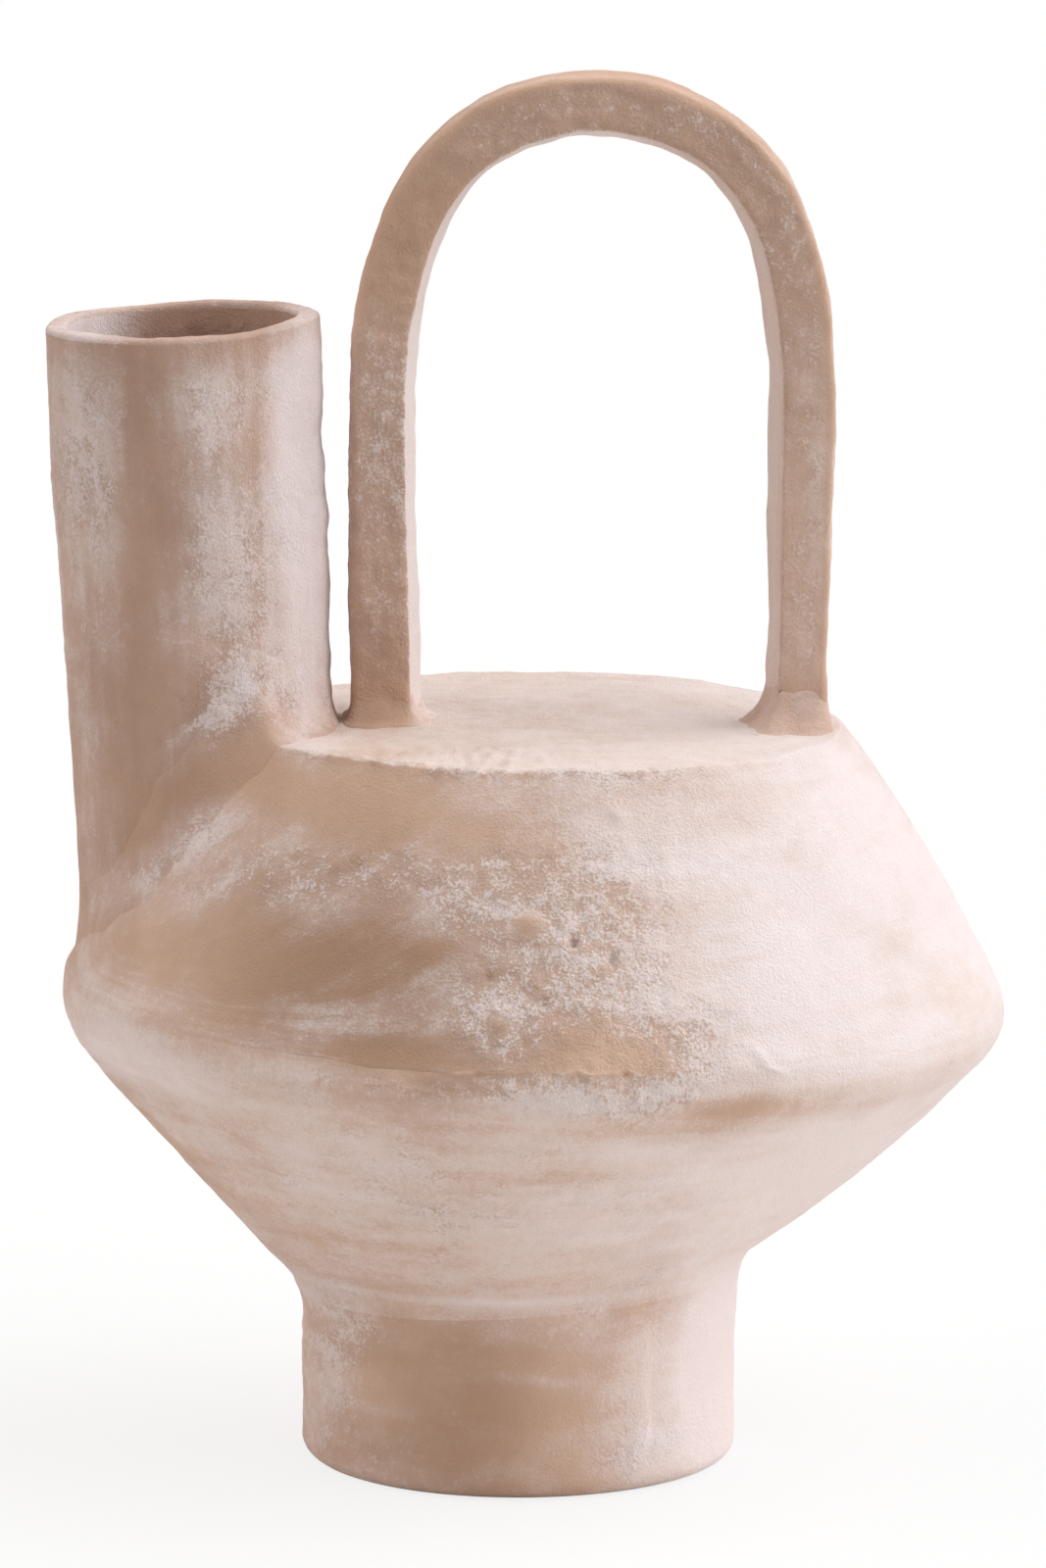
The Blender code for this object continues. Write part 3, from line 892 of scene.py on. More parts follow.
        rough = noise(places + 5.2, 0.0085) + 0.5 * noise(places + 6.1, 0.0042)
        crack = bell(y + 0.012 + 0.10 * x, 0.0016) * bell(x + 0.004, 0.020, 4) * (0.6 + broken)
        flake = bell(x, 0.0030) * bell(y + 0.052, 0.0045)
        return total + deck * (0.00110 * comb + 0.00022 * rough - 0.0011 * crack + 0.0008 * flake)

    def height_at(self, x: Array, y: Array) -> Array:
        """Height of the body's upper face over places in plan.

        Each side's outline from the belly in to the deck gives height against radius, and the sides are
        blended by their shares. The shift at that height is found by repeating the reading, and the slope
        comes last.

        Args:
            x: Places along X.
            y: Places along Y.

        Returns:
            Heights of the unpressed face.
        """
        level = np.full(np.shape(x), self.corners[3][1])
        lines = {side: self.outline(profile, 0.0, 0.0008)[0] for side, profile in PROFILES.items()}
        uppers = {side: line[int(np.argmax(line[:, 0])) :][::-1].T for side, line in lines.items()}
        for _ in range(12):
            shift = np.interp(level, self.hand.heights, self.hand.shifts)
            reach, angle = np.hypot(x - shift, y), np.arctan2(y, x - shift)
            level = sum(side.share(angle) * np.interp(reach, *upper) for side, upper in uppers.items())
        shift = np.interp(level, self.hand.heights, self.hand.shifts)
        slope = np.interp(level, self.hand.heights, self.hand.slopes)
        return level + slope * (x - shift)

    def floor_skin(self) -> Skin:
        """The floor slab: a disc turned from pole to pole, with a softened edge."""
        gap, soft = 0.0003, 0.0008
        radius = self.corners[0][0] - self.wall - gap
        flat = np.linspace(0.0, radius - soft, 34)
        line = np.concatenate(
            [
                np.stack([flat, np.zeros_like(flat)], axis=1),
                np.array([(radius, soft), (radius, self.floor - soft)]),
                np.stack([flat[::-1], np.full_like(flat, self.floor)], axis=1),
            ]
        )
        places = round_axis(steps_round(180)[:, None], line[:, 0], line[:, 1])
        strokes = places * (0.3, 1.0, 1.0)
        wash = self.hand.brushed(places, strokes)
        grit = self.hand.torn(places, wash)
        lifted = 0.00025 * (1.0 + self.hand.noise.at(places, 0.012))
        lifted = lifted + 0.00010 * self.hand.noise.at(strokes, 0.0024)
        within = smooth_step(radius, radius - 0.004, line[:, 0])[None, :]
        away = np.where(line[:, 1] < self.floor / 2, 1.0, -1.0)[None, :]
        places[..., 2] += np.maximum(lifted, 0.0) * within * away
        return Skin(places, strokes, wash * 0.6, grit)

    def build(self, bore: Callable[[], bpy.types.Object]) -> dict[Piece, bpy.types.Object]:
        """Makes the five pieces of the body, with the neck's bore cut through the shoulder and the deck.

        Args:
            bore: Makes a closed solid of the hole under the neck.

        Returns:
            The pieces by name.
        """
        outer, seams = self.skin(0.0, self.spacing)
        inner, lined = self.skin(self.wall, self.coarser * self.spacing)
        made = {Piece.FLOOR: add_skin(Piece.FLOOR, self.floor_skin(), Closing.DISC)}
        ends = {
            Piece.FOOT: Seam.FOOT_TOP,
            Piece.LOWER_CONE: Seam.CREASE,
            Piece.UPPER_CONE: Seam.DECK_EDGE,
        }
        first, lined_first = 0, 0
        for piece, seam in ends.items():
            face = outer.columns(first, seams[seam])
            back = inner.columns(lined_first, lined[seam]).backwards()
            made[piece] = add_skin(piece, face.joined(back), Closing.RING)
            first, lined_first = seams[seam], lined[seam]
        top = outer.columns(first, outer.places.shape[1] - 1).backwards()
        under = inner.columns(lined_first, inner.places.shape[1] - 1)
        made[Piece.DECK] = add_skin(Piece.DECK, top.joined(under), Closing.DISC)
        for piece in (Piece.UPPER_CONE, Piece.DECK):
            pierce(made[piece], bore())
        return made


def pierce(item: bpy.types.Object, cutter: bpy.types.Object) -> None:
    """Takes a closed solid away from a piece and removes the solid.

    Args:
        item: Piece to cut.
        cutter: Solid to take away.
    """
    cut = item.modifiers.new("bore", "BOOLEAN")
    cut.operation = "DIFFERENCE"
    cut.solver = "EXACT"
    cut.object = cutter
    bpy.context.view_layer.update()
    graph = bpy.context.evaluated_depsgraph_get()
    mesh = bpy.data.meshes.new_from_object(item.evaluated_get(graph))
    item.modifiers.clear()
    item.data = mesh
    bpy.data.objects.remove(cutter)


# Neck

BRUSHED_UPWARDS = (1.0, 1.0, 0.13)


@dataclass
class Neck:
    """The rolled tube that leans away from the handle, lapped down its right side, with an uneven rim.

    Attributes:
        rim_radius: Outer radius at the rim.
        seat_radius: Outer radius at the height of the belly.
        rim_height: Height of the rim's middle.
        lean: Angle of the axis from upright, towards -X.
        inset: How far the wall stands inside the belly's sharp corner.
        wall: Thickness of the rolled slab.
        lap: How far the lapped edge stands proud.
        rim_line: Unevenness of the rim as angles in degrees and heights in millimetres.
        lip: Rounding of the rim's two edges.
        thinning: Share of the wall that is missing at the back.
        around: Number of steps round the tube.
        climb: Number of points up the outside.
        drop: Number of points down the bore.
    """

    hand: PottersHand
    body: VaseBody
    rim_radius: float = 0.0384
    seat_radius: float = 0.0362
    rim_height: float = 0.3204
    lean: float = math.radians(2.4)
    inset: float = 0.0098
    wall: float = 0.0065
    lap: float = 0.0017
    rim_line: Pairs = (
        (-160.0, 0.2),
        (-128.0, -0.4),
        (-90.0, -0.9),
        (-45.0, -0.5),
        (-6.0, 1.0),
        (35.0, 0.4),
        (60.0, -0.2),
        (90.0, -0.3),
        (112.0, -0.4),
        (150.0, 0.4),
        (178.0, 0.4),
    )
    lip: float = 0.0015
    thinning: float = 0.45
    around: int = 280
    climb: int = 150
    drop: int = 80

    def length(self) -> float:
        """Length of the axis from the height of the belly to the rim."""
        return (self.rim_height - self.body.corners[2][1]) / math.cos(self.lean)

    def placed(self, local: Array) -> Array:
        """Takes places from the neck's own frame, with Z up its axis from the rim's middle, to the vase's."""
        seat_x = self.hand.shifts[2] - self.body.corners[2][0] + self.inset + self.seat_radius
        rim = np.array([seat_x - math.sin(self.lean) * self.length(), 0.0, self.rim_height])
        cosine, sine = math.cos(self.lean), math.sin(self.lean)
        basis = np.array([(cosine, 0.0, sine), (0.0, 1.0, 0.0), (-sine, 0.0, cosine)])
        return rim + local @ basis

    def radius(self, angle: Array, level: Array) -> Array:
        """Outer radius: a taper, flats pressed between the palms, a waist, and a lap that ends sharply.

        Args:
            angle: Angle round the axis, from -pi to pi, with 0 towards the handle.
            level: Height along the axis, 0 at the rim and falling below it.

        Returns:
            Radii of the outer wall.
        """
        taper = self.rim_radius + (self.seat_radius - self.rim_radius) * -level / self.length()
        flats = 0.0005 * np.cos(3.0 * angle + 9.0 * level) + 0.0004 * np.cos(5.0 * angle - 14.0 * level + 1.3)
        ragged = 1.0 + 0.45 * self.hand.noise.at(round_axis(angle, 0.01, level), 0.012)
        edge = smooth_step(-0.80, -0.12, angle) * smooth_step(0.10, -0.09, angle)
        sunk = smooth_step(-1.30, -0.30, angle) * smooth_step(1.30, 0.50, angle)
        waist = 0.0013 * bell(level + 0.125, 0.045) * np.maximum(-np.cos(angle), 0.0) ** 2
        return taper + flats - waist + self.lap * (ragged * edge - 1.3 * sunk)

    def rim(self, angle: Array) -> Array:
        """Unevenness of the rim: a smooth line through its measured heights, joined end to end."""
        turn = np.radians(self.rim_line)[:, 0]
        height = np.array(self.rim_line)[:, 1] * 0.001
        turns = np.concatenate([turn - 2.0 * math.pi, turn, turn + 2.0 * math.pi])
        return spline(turns, np.tile(height, 3)[:, None], np.ravel(angle))[:, 0].reshape(np.shape(angle))

    def seat(self, angle: Array, radius: Array) -> Array:
        """Level in the neck's frame at which a line along its axis meets the body.

        Args:
            angle: Angle round the axis.
            radius: Distance from the axis.

        Returns:
            Levels, all below the rim.
        """
        level = np.full(np.broadcast(angle, radius).shape, -0.11)
        for _ in range(8):
            spot = self.placed(round_axis(angle, radius, level))
            height = self.body.height_at(spot[..., 0], spot[..., 1])
            level = level + (height - spot[..., 2]) / math.cos(self.lean)
        return level

    def skin(self) -> Skin:
        """The tube's closed wall: up the outside, over the rim, thin at the back, and down the bore."""
        angle = steps_round(self.around) - math.pi
        turn = angle[:, None]
        seat = self.seat(angle, self.rim_radius - 0.5 * self.wall)[:, None] - 0.004
        rim = self.rim(angle)[:, None]
        climb = np.linspace(0.0, 1.0, self.climb)[None, :]
        outside = seat + (rim - self.lip - seat) * climb
        outer = self.radius(turn, outside)
        square = np.array([(0.0, -0.01), (0.0, 0.0), (-self.wall, 0.0), (-self.wall, -0.01)])
        arcs = [corner_arc(*square[first : first + 3], self.lip, 6) for first in (0, 1)]
        over = np.concatenate([arcs[0][1:], 0.5 * (arcs[0][-1:] + arcs[1][:1]), arcs[1][:-1]])
        thin = 1.0 - self.thinning * np.maximum(np.sin(turn), 0.0) ** 2
        over_radius = outer[:, -1:] + over[None, :, 0] * thin
        over_level = rim + over[None, :, 1]
        drop = np.linspace(0.0, 1.0, self.drop)[None, :]
        inside = rim - self.lip + (seat - rim + self.lip) * drop
        inner = np.minimum(self.radius(turn, inside), outer[:, -1:]) - self.wall * thin
        radius = np.concatenate([outer, over_radius, inner], axis=1)
        level = np.concatenate([outside, over_level, inside], axis=1)
        local = round_axis(turn, radius, level)
        places = self.placed(local)
        normals = grid_normals(places, True, True)
        low, across = places[0, 40], places[self.around // 2, 40]
        normals = outward(normals, normals[0, 40], low - across)
        strokes = local * BRUSHED_UPWARDS
        wash = self.hand.brushed(places, strokes)
        lip = self.climb
        bore = lip + len(over)
        column = np.arange(level.shape[1])
        drift = 5.0 * self.hand.noise.at(local * (1.0, 1.0, 0.2), 0.012)
        lipped = smooth_step(lip - 14.0, lip + 1.0, column + drift)
        lipped = lipped * smooth_step(bore + 13.0, bore + 5.0, column)[None, :]
        wash = wash * (1.0 - 0.4 * lipped)
        # Painted light: more slip on the rim and on the bore's inner wall on the side away from the handle,
        # where that wall faces the light from the right.
        facing = smooth_step(0.10, 0.75, -np.cos(turn))
        wash[:, lip:bore] += 0.12 + 0.30 * facing
        wash[:, bore:] = 0.30 * wash[:, bore:] + 1.1 * facing
        grit = self.hand.torn(places, wash) * (1.0 - 0.8 * lipped)
        grit[:, bore + 3 :] = np.maximum(grit[:, bore + 3 :], 0.6 - 0.4 * facing)
        return Skin(self.hand.pressed(places, normals, strokes, grit), strokes, wash, grit)

    def bore(self) -> bpy.types.Object:
        """A closed taper inside the neck's wall, from below the shoulder to above the deck, for the cut."""
        low, high = -self.length() - 0.004, -0.05
        inset = 0.6 * self.wall
        reach = np.array([0.0, self.seat_radius - inset, self.rim_radius - inset, 0.0])
        local = round_axis(steps_round(96)[:, None], reach, np.array([low, low, high, high]))
        places = self.placed(local)
        blank = np.zeros(places.shape[:2])
        return add_skin(Piece.NECK, Skin(places, places, blank, blank), Closing.DISC)

    def build(self) -> dict[Piece, bpy.types.Object]:
        """Makes the tube."""
        return {Piece.NECK: add_skin(Piece.NECK, self.skin(), Closing.RING)}


# Smeared joints


def smear(top: Array, corner: Array, toe: Array, backing: Array, steps: int) -> Array:
    """A smeared weld's closed section at each place round it.

    Its face is a quadratic curve from a top line to a toe line that leaves each along the clay it lies on,
    and its back returns through a line inside the clay.

    Args:
        top: Line where the weld ends on the standing piece.
        corner: Line where the two pieces meet.
        toe: Line where it ends on the piece below.
        backing: Line inside the clay behind the corner.
        steps: Number of steps down the face.

    Returns:
        Grid with rows round the weld and columns round its section.
    """
    part = np.linspace(0.0, 1.0, steps + 1)[None, :, None]
    lines = [line[:, None, :] for line in (top, corner, toe, backing)]
    face = lines[0] * (1.0 - part) ** 2 + 2.0 * lines[1] * part * (1.0 - part) + lines[2] * part**2
    back = np.linspace(0.0, 1.0, 5)[None, 1:, None]
    under = lines[2] + (lines[3] - lines[2]) * back
    behind = lines[3] + (lines[0] - lines[3]) * back[:, :-1]
    return np.concatenate([face, under, behind], axis=1)


@dataclass
class NeckWeld:
    """The saddle of clay smeared round the neck's seat: wide at the front and back, tight at the two ends.

    Attributes:
        rise_front: How far it climbs the neck at the front and back.
        rise_side: How far it climbs at the ends.
        spread_front: How far it spreads over the shoulder at the front and back.
        spread_left: How far it spreads at the belly's edge.
        spread_right: How far it spreads on the deck beside the handle.
        around: Number of steps round the weld.
        steps: Number of steps down its face.
    """

    hand: PottersHand
    neck: Neck
    rise_front: float = 0.026
    rise_side: float = 0.018
    spread_front: float = 0.015
    spread_left: float = 0.0022
    spread_right: float = 0.0042
    around: int = 280
    steps: int = 30

    def skin(self) -> Skin:
        """Follows the saddle: at each angle a smear from the neck's wall out to the body's face."""
        angle = steps_round(self.around) - math.pi
        facing = np.sin(angle) ** 2
        ends = np.where(np.cos(angle) < 0, self.spread_left, self.spread_right)
        uneven = self.hand.noise.at(round_axis(angle, 0.03, 0.0), 0.012)
        spread = (ends + (self.spread_front - ends) * facing) * (1.0 + 0.22 * uneven)
        rise = (self.rise_side + (self.rise_front - self.rise_side) * facing) * (1.0 + 0.15 * uneven)
        wall = self.neck.radius(angle, np.full_like(angle, -0.12))
        seat = self.neck.seat(angle, wall)
        wall = self.neck.radius(angle, seat)
        high = seat + rise
        toe_radius = wall + spread
        toe = self.neck.seat(angle, toe_radius)
        further, nearer = (self.neck.seat(angle, toe_radius + step) for step in (PROBE, -PROBE))
        fall = (further - nearer) / (2.0 * PROBE)
        sink = 0.0012 / np.sqrt(1.0 + fall**2)
        local = smear(
            round_axis(angle, self.neck.radius(angle, high) - TUCK, high),
            round_axis(angle, wall, seat),
            round_axis(angle, toe_radius + fall * sink, toe - sink),
            round_axis(angle, wall - BACKING, np.minimum(seat, toe + spread) - 0.0035),
            self.steps,
        )
        places = self.neck.placed(local)
        normals = grid_normals(places, True, True)
        normals = outward(normals, normals[:, 12], places[:, 12] - places.mean(axis=1))
        strokes = local * BRUSHED_UPWARDS
        wash = self.hand.brushed(places, strokes)
        grit = self.hand.torn(places, wash)
        return Skin(self.hand.pressed(places, normals, strokes, grit), strokes, wash, grit)

    def build(self) -> dict[Piece, bpy.types.Object]:
        """Makes the saddle."""
        return {Piece.NECK_WELD: add_skin(Piece.NECK_WELD, self.skin(), Closing.RING)}


# Handle


@dataclass(frozen=True)
class Collar:
    """How one foot of the handle is smeared down.

    Attributes:
        foot: Number of the point on the handle's centre line.
        spread: How far the clay is spread over the deck.
        bead: Height of the bead along the toe.
        share: Share of the slip that it keeps.
        painted_light_side: Slip added on the side towards +X, which faces the light: painted light.
    """

    foot: int
    spread: float
    bead: float
    share: float
    painted_light_side: float


COLLARS = {
    Leg.LEFT: Collar(1, 0.0062, 0.0011, 0.9, 0.5),
    Leg.RIGHT: Collar(-2, 0.0095, 0.0006, 0.6, 0.0),
}


@dataclass
class Handle:
    """The bar bent into an arch, its inner face shaved back towards the front, and its two smeared feet.

    Attributes:
        line: Centre line as X, height and width, from the left foot over the arch to the right foot.
        width: Width that the bar's section is drawn at.
        depth: Thickness of the bar along Y.
        shaving: How far the inner face is cut back at the front, on the left leg and on the right.
        roundings: Radii of the bar's edges: outer front, outer back, inner back, inner front.
        around: Number of steps round the bar.
        spacing: Distance between points along the bar.
        weld_around: Number of steps round each weld.
        weld_steps: Number of steps down its face.
        tight: Spread of a weld on its tight side.
    """

    hand: PottersHand
    body: VaseBody
    line: tuple[Triple, ...] = (
        (-0.0370, 0.2035, 0.0190),
        (-0.0370, 0.2250, 0.0190),
        (-0.0374, 0.2470, 0.0186),
        (-0.0377, 0.2800, 0.0182),
        (-0.0376, 0.3010, 0.0183),
        (-0.0360, 0.3218, 0.0185),
        (-0.0309, 0.3416, 0.0177),
        (-0.0211, 0.3602, 0.0180),
        (-0.0060, 0.3728, 0.0190),
        (0.0198, 0.3794, 0.0178),
        (0.0420, 0.3752, 0.0186),
        (0.0587, 0.3650, 0.0184),
        (0.0688, 0.3512, 0.0183),
        (0.0748, 0.3323, 0.0186),
        (0.0776, 0.3115, 0.0189),
        (0.0781, 0.2900, 0.0187),
        (0.0777, 0.2680, 0.0184),
        (0.0774, 0.2470, 0.0181),
        (0.0767, 0.2250, 0.0176),
        (0.0765, 0.2025, 0.0176),
    )
    width: float = 0.018
    depth: float = 0.0200
    shaving: tuple[float, float] = (0.0027, 0.0038)
    roundings: tuple[float, ...] = (0.0022, 0.0022, 0.0020, 0.0011)
    around: int = 76
    spacing: float = 0.0013
    weld_around: int = 160
    weld_steps: int = 20
    tight: float = 0.0026

    def section(self, shaving: float) -> Array:
        """Outline of the bar for a width of one: across to the outside of the arch, and Y, evenly spaced.

        Args:
            shaving: How far the inner face is cut back at the front.

        Returns:
            Across and Y of each point round the bar.
        """
        half, deep = self.width / 2, self.depth / 2
        corners = np.array([(half, -deep), (half, deep), (-half, deep), (-half + shaving, -deep)])
        arcs = [
            corner_arc(corners[index - 1], corners[index], corners[(index + 1) % 4], rounding, 8)
            for index, rounding in enumerate(self.roundings)
        ]
        loop = np.concatenate([*arcs, arcs[0][:1]])
        return resampled(loop, self.around + 1)[:-1] / (self.width, 1.0)

    def skin(self) -> Skin:
        """The section carried along a spline through the centre line, and closed at each hidden end."""
        rows = np.array(self.line)
        knots = lengths_along(rows[:, :2])
        run = np.linspace(0.0, knots[-1], round(knots[-1] / self.spacing))
        read = spline(knots, rows, run)
        centre, width = read[:, :2], read[:, 2]
        width = width * (1.0 + 0.020 * np.sin(run * 97.0) + 0.014 * np.sin(run * 173.0 + 1.0))
        ahead = unit(np.gradient(centre, axis=0))
        outwards = np.stack([-ahead[:, 1], ahead[:, 0]], axis=1)
        part = smooth_step(0.3, 0.7, run / run[-1])[:, None, None]
        left, right = (self.section(shaving) for shaving in self.shaving)
        section = left + (right - left) * part
        shrink = np.ones(len(run))
        shrink[[0, -1]] = 0.0
        across = (width * shrink)[:, None] * section[..., 0]
        deep = shrink[:, None] * section[..., 1]
        places = np.stack(
            [
                centre[:, :1] + outwards[:, :1] * across,
                deep,
                centre[:, 1:] + outwards[:, 1:] * across,
            ],
            axis=-1,
        )
        normals = grid_normals(places, False, True)
        middle = np.stack([centre[:, 0], 0.0 * run, centre[:, 1]], axis=1)[:, None]
        normals = outward(normals, normals, places - middle)
        strokes = np.stack(np.broadcast_arrays(across, deep, run[:, None]), axis=-1) * BRUSHED_UPWARDS
        wash = self.hand.brushed(places, strokes)
        grit = self.hand.torn(places, wash)
        ahead_face = smooth_step(-0.4, -0.8, normals[..., 1])
        rubbed = ahead_face * smooth_step(0.30, 0.42, section[..., 0])
        # Inner faces whitened: partly slip, partly painted light where the key light falls on the left leg's
        # inner face; the right leg's, turned away, gets less.
        inside = smooth_step(0.15, 0.45, -section[..., 0]) * (1.0 - ahead_face)
        low = smooth_step(0.226, 0.214, places[..., 2])
        right = smooth_step(0.0, 0.05, places[..., 0])
        legs = smooth_step(0.35, 0.30, places[..., 2])
        shade = 0.32 - 0.16 * right + (0.10 - 0.06 * right) * legs
        inside = inside * (1.0 - 0.7 * right)
        torn = 0.75 - 0.40 * right * legs
        grit = np.clip(grit + torn * ahead_face - 0.9 * rubbed - 0.7 * low - 0.5 * inside, 0.0, 1.0)
        wash = np.clip(0.62 * wash + shade - 0.25 * rubbed - 0.25 * low + 1.5 * inside, 0.0, 1.6)
        uneven = self.hand.relief(places, ((0.0095, 0.00030), (0.0048, 0.00016)))
        pushed = self.hand.pressed(places, normals, strokes, grit, 0.9) + normals * uneven[..., None]
        pushed[[0, -1]] = places[[0, -1]]
        return Skin(pushed, strokes, wash, grit)

    def weld(self, leg: Leg) -> Skin:
        """The collar smeared round a foot: tight towards the neck or the deck's edge, wider elsewhere."""
        collar = COLLARS[leg]
        foot = self.line[collar.foot]
        section = self.section(self.shaving[list(Leg).index(leg)])
        loop = resampled(np.concatenate([section, section[:1]]), self.weld_around + 1)[:-1]
        outline = np.stack([foot[0] + leg.value * foot[2] * loop[:, 0], loop[:, 1]], axis=1)
        ahead = np.roll(outline, -1, axis=0) - np.roll(outline, 1, axis=0)
        normal = unit(np.stack([ahead[:, 1], -ahead[:, 0]], axis=1))
        normal = outward(normal, normal, outline - outline.mean(axis=0))
        tight = np.clip(normal[:, 0] * leg.value, 0.0, 1.0) ** 2
        spots = np.concatenate([outline, np.full((len(outline), 1), leg.value)], axis=1)
        uneven = self.hand.noise.at(spots, 0.0075)
        spread = (collar.spread + (self.tight - collar.spread) * tight) * (1.0 + 0.20 * uneven)
        rise = (0.0105 + 0.0020 * tight) * (1.0 + 0.30 * uneven)
        low = self.body.height_at(outline[:, 0], outline[:, 1])
        toe = outline + normal * spread[:, None]
        toe_level = self.body.height_at(toe[:, 0], toe[:, 1])
        places = smear(
            self.lifted(outline - normal * TUCK, low + rise),
            self.lifted(outline + normal * 0.0003, low + 0.0004),
            self.lifted(toe, toe_level - 0.0015),
            self.lifted(outline - normal * BACKING, np.minimum(low, toe_level) - BACKING),
            self.weld_steps,
        )
        normals = grid_normals(places, True, True)
        normals = outward(normals, normals[:, 8], places[:, 8] - places.mean(axis=1))
        strokes = places * (0.4, 1.0, 1.0)
        wash = collar.share * self.hand.brushed(places, strokes)
        # Painted light: whiter on the side turned to the light from the right.
        wash = wash + collar.painted_light_side * np.maximum(normal[:, :1], 0.0)
        grit = self.hand.torn(places, wash)
        torn = self.hand.relief(places, ((0.0060, 0.0003), (0.0030, 0.0001)))
        near_toe = bell(np.arange(places.shape[1]) - 16.5, 2.4)[None, :]
        lip = collar.bead * near_toe * (1.0 + 0.6 * uneven[:, None])
        places = places + normals * (torn + lip)[..., None]
        return Skin(self.hand.pressed(places, normals, strokes, grit), strokes, wash, grit)

    def lifted(self, plan: Array, level: Array) -> Array:
        """Places in plan at given heights."""
        return np.concatenate([plan, level[:, None]], axis=1)

    def build(self) -> dict[Piece, bpy.types.Object]:
        """Makes the arch and its two welds."""
        return {
            Piece.HANDLE: add_skin(Piece.HANDLE, self.skin(), Closing.BAR),
            Piece.LEFT_WELD: add_skin(Piece.LEFT_WELD, self.weld(Leg.LEFT), Closing.RING),
            Piece.RIGHT_WELD: add_skin(Piece.RIGHT_WELD, self.weld(Leg.RIGHT), Closing.RING),
        }


# Finish


class Flow:
    """A value in a material: one node socket, with arithmetic that adds Math nodes."""

    def __init__(self, bench: "Bench", socket: bpy.types.NodeSocket) -> None:
        """Wraps a socket.

        Args:
            bench: Material that the socket belongs to.
            socket: Output socket of a node.
        """
        self.bench = bench
        self.socket = socket

    def math(self, operation: str, *others: "Flow | float") -> "Flow":
        """This value and others through a Math node."""
        node = self.bench.node("ShaderNodeMath", {"operation": operation}, dict(enumerate((self, *others))))
        return Flow(self.bench, node.outputs[0])

    def __add__(self, other: "Flow | float") -> "Flow":
        """Sum."""
        return self.math("ADD", other)

    __radd__ = __add__

    def __mul__(self, other: "Flow | float") -> "Flow":
        """Product."""
        return self.math("MULTIPLY", other)

    __rmul__ = __mul__

    def __sub__(self, other: "Flow | float") -> "Flow":
        """Difference."""
        return self.math("SUBTRACT", other)

    def __rsub__(self, other: float) -> "Flow":
        """Difference from a number."""
        node = self.bench.node("ShaderNodeMath", {"operation": "SUBTRACT"}, {0: other, 1: self})
        return Flow(self.bench, node.outputs[0])

    def eased(self, low: float, high: float) -> "Flow":
        """Eases the value from 0 at a low mark to 1 at a high mark."""
        node = self.bench.node(
            "ShaderNodeMapRange",
            {"interpolation_type": "SMOOTHSTEP"},
            {"Value": self, "From Min": low, "From Max": high},
        )
        return Flow(self.bench, node.outputs["Result"])


class Bench:
    """Where a material or a surround is put together, node by node."""

    def __init__(self, owner: bpy.types.Material | bpy.types.World) -> None:
        """Takes up the nodes of a new material or world, which has one shader.

        Args:
            owner: Material or world to work on.
        """
        owner.use_nodes = True
        self.owner = owner
        self.tree = owner.node_tree
        self.shader = next(node for node in self.tree.nodes if node.type in ("BSDF_PRINCIPLED", "BACKGROUND"))

    def node(
        self, kind: str, settings: dict[str, object], inputs: dict[str | int, object]
    ) -> bpy.types.Node:
        """Adds a node.

        Args:
            kind: Node type.
            settings: Properties, set first.
            inputs: Values, or flows and sockets to link, by socket name or number.

        Returns:
            The new node.
        """
        made = self.tree.nodes.new(kind)
        for name, value in settings.items():
            setattr(made, name, value)
        for key, value in inputs.items():
            self.feed(made.inputs[key], value)
        return made

    def feed(self, socket: bpy.types.NodeSocket, value: object) -> None:
        """Links a flow or a socket to an input, or sets a plain value on it."""
        if isinstance(value, Flow):
            self.tree.links.new(value.socket, socket)
        elif isinstance(value, bpy.types.NodeSocket):
            self.tree.links.new(value, socket)
        else:
            socket.default_value = value

    def noise(self, where: bpy.types.NodeSocket, scale: float, detail: float, rough: float) -> Flow:
        """Noise read at a vector, about -0.5 to 0.5."""
        made = self.node(
            "ShaderNodeTexNoise",
            {"noise_dimensions": "3D"},
            {"Vector": where, "Scale": scale, "Detail": detail, "Roughness": rough},
        )
        return Flow(self, made.outputs[0]) - 0.5

    def seen(self) -> Flow:
        """One for rays that the camera sends, straight or by way of a mirror or glass, and 0 for others."""
        path = self.node("ShaderNodeLightPath", {}, {})
        rays = [Flow(self, path.outputs[f"Is {kind} Ray"]) for kind in ("Camera", "Glossy", "Transmission")]
        return rays[0].math("MAXIMUM", rays[1]).math("MAXIMUM", rays[2])

    def far(self, place: bpy.types.NodeSocket, middle: Triple, reach: Triple) -> Flow:
        """Distance of a place from a middle, as a share of a reach along each axis."""
        offset = self.node("ShaderNodeVectorMath", {"operation": "SUBTRACT"}, {0: place, 1: middle})
        share = self.node("ShaderNodeVectorMath", {"operation": "DIVIDE"}, {0: offset.outputs[0], 1: reach})
        length = self.node("ShaderNodeVectorMath", {"operation": "LENGTH"}, {0: share.outputs[0]})
        return Flow(self, length.outputs["Value"])

    def attribute(self, name: str) -> bpy.types.Node:
        """The node of one of the piece's own attributes."""
        return self.node("ShaderNodeAttribute", {"attribute_name": name}, {})

    def mixed(self, share: Flow | float, first: object, second: object) -> bpy.types.NodeSocket:
        """A colour between two others."""
        made = self.node(
            "ShaderNodeMix",
            {"data_type": "RGBA", "blend_type": "MIX"},
            {0: share, 6: first, 7: second},
        )
        return made.outputs[2]


def from_screen(red: int, green: int, blue: int) -> Colour:
    """A colour written as screen values from 0 to 255, as linear light."""
    part = np.array([red, green, blue]) / 255.0
    linear = np.where(part <= 0.04045, part / 12.92, ((part + 0.055) / 1.055) ** 2.4)
    return (*map(float, linear), 1.0)


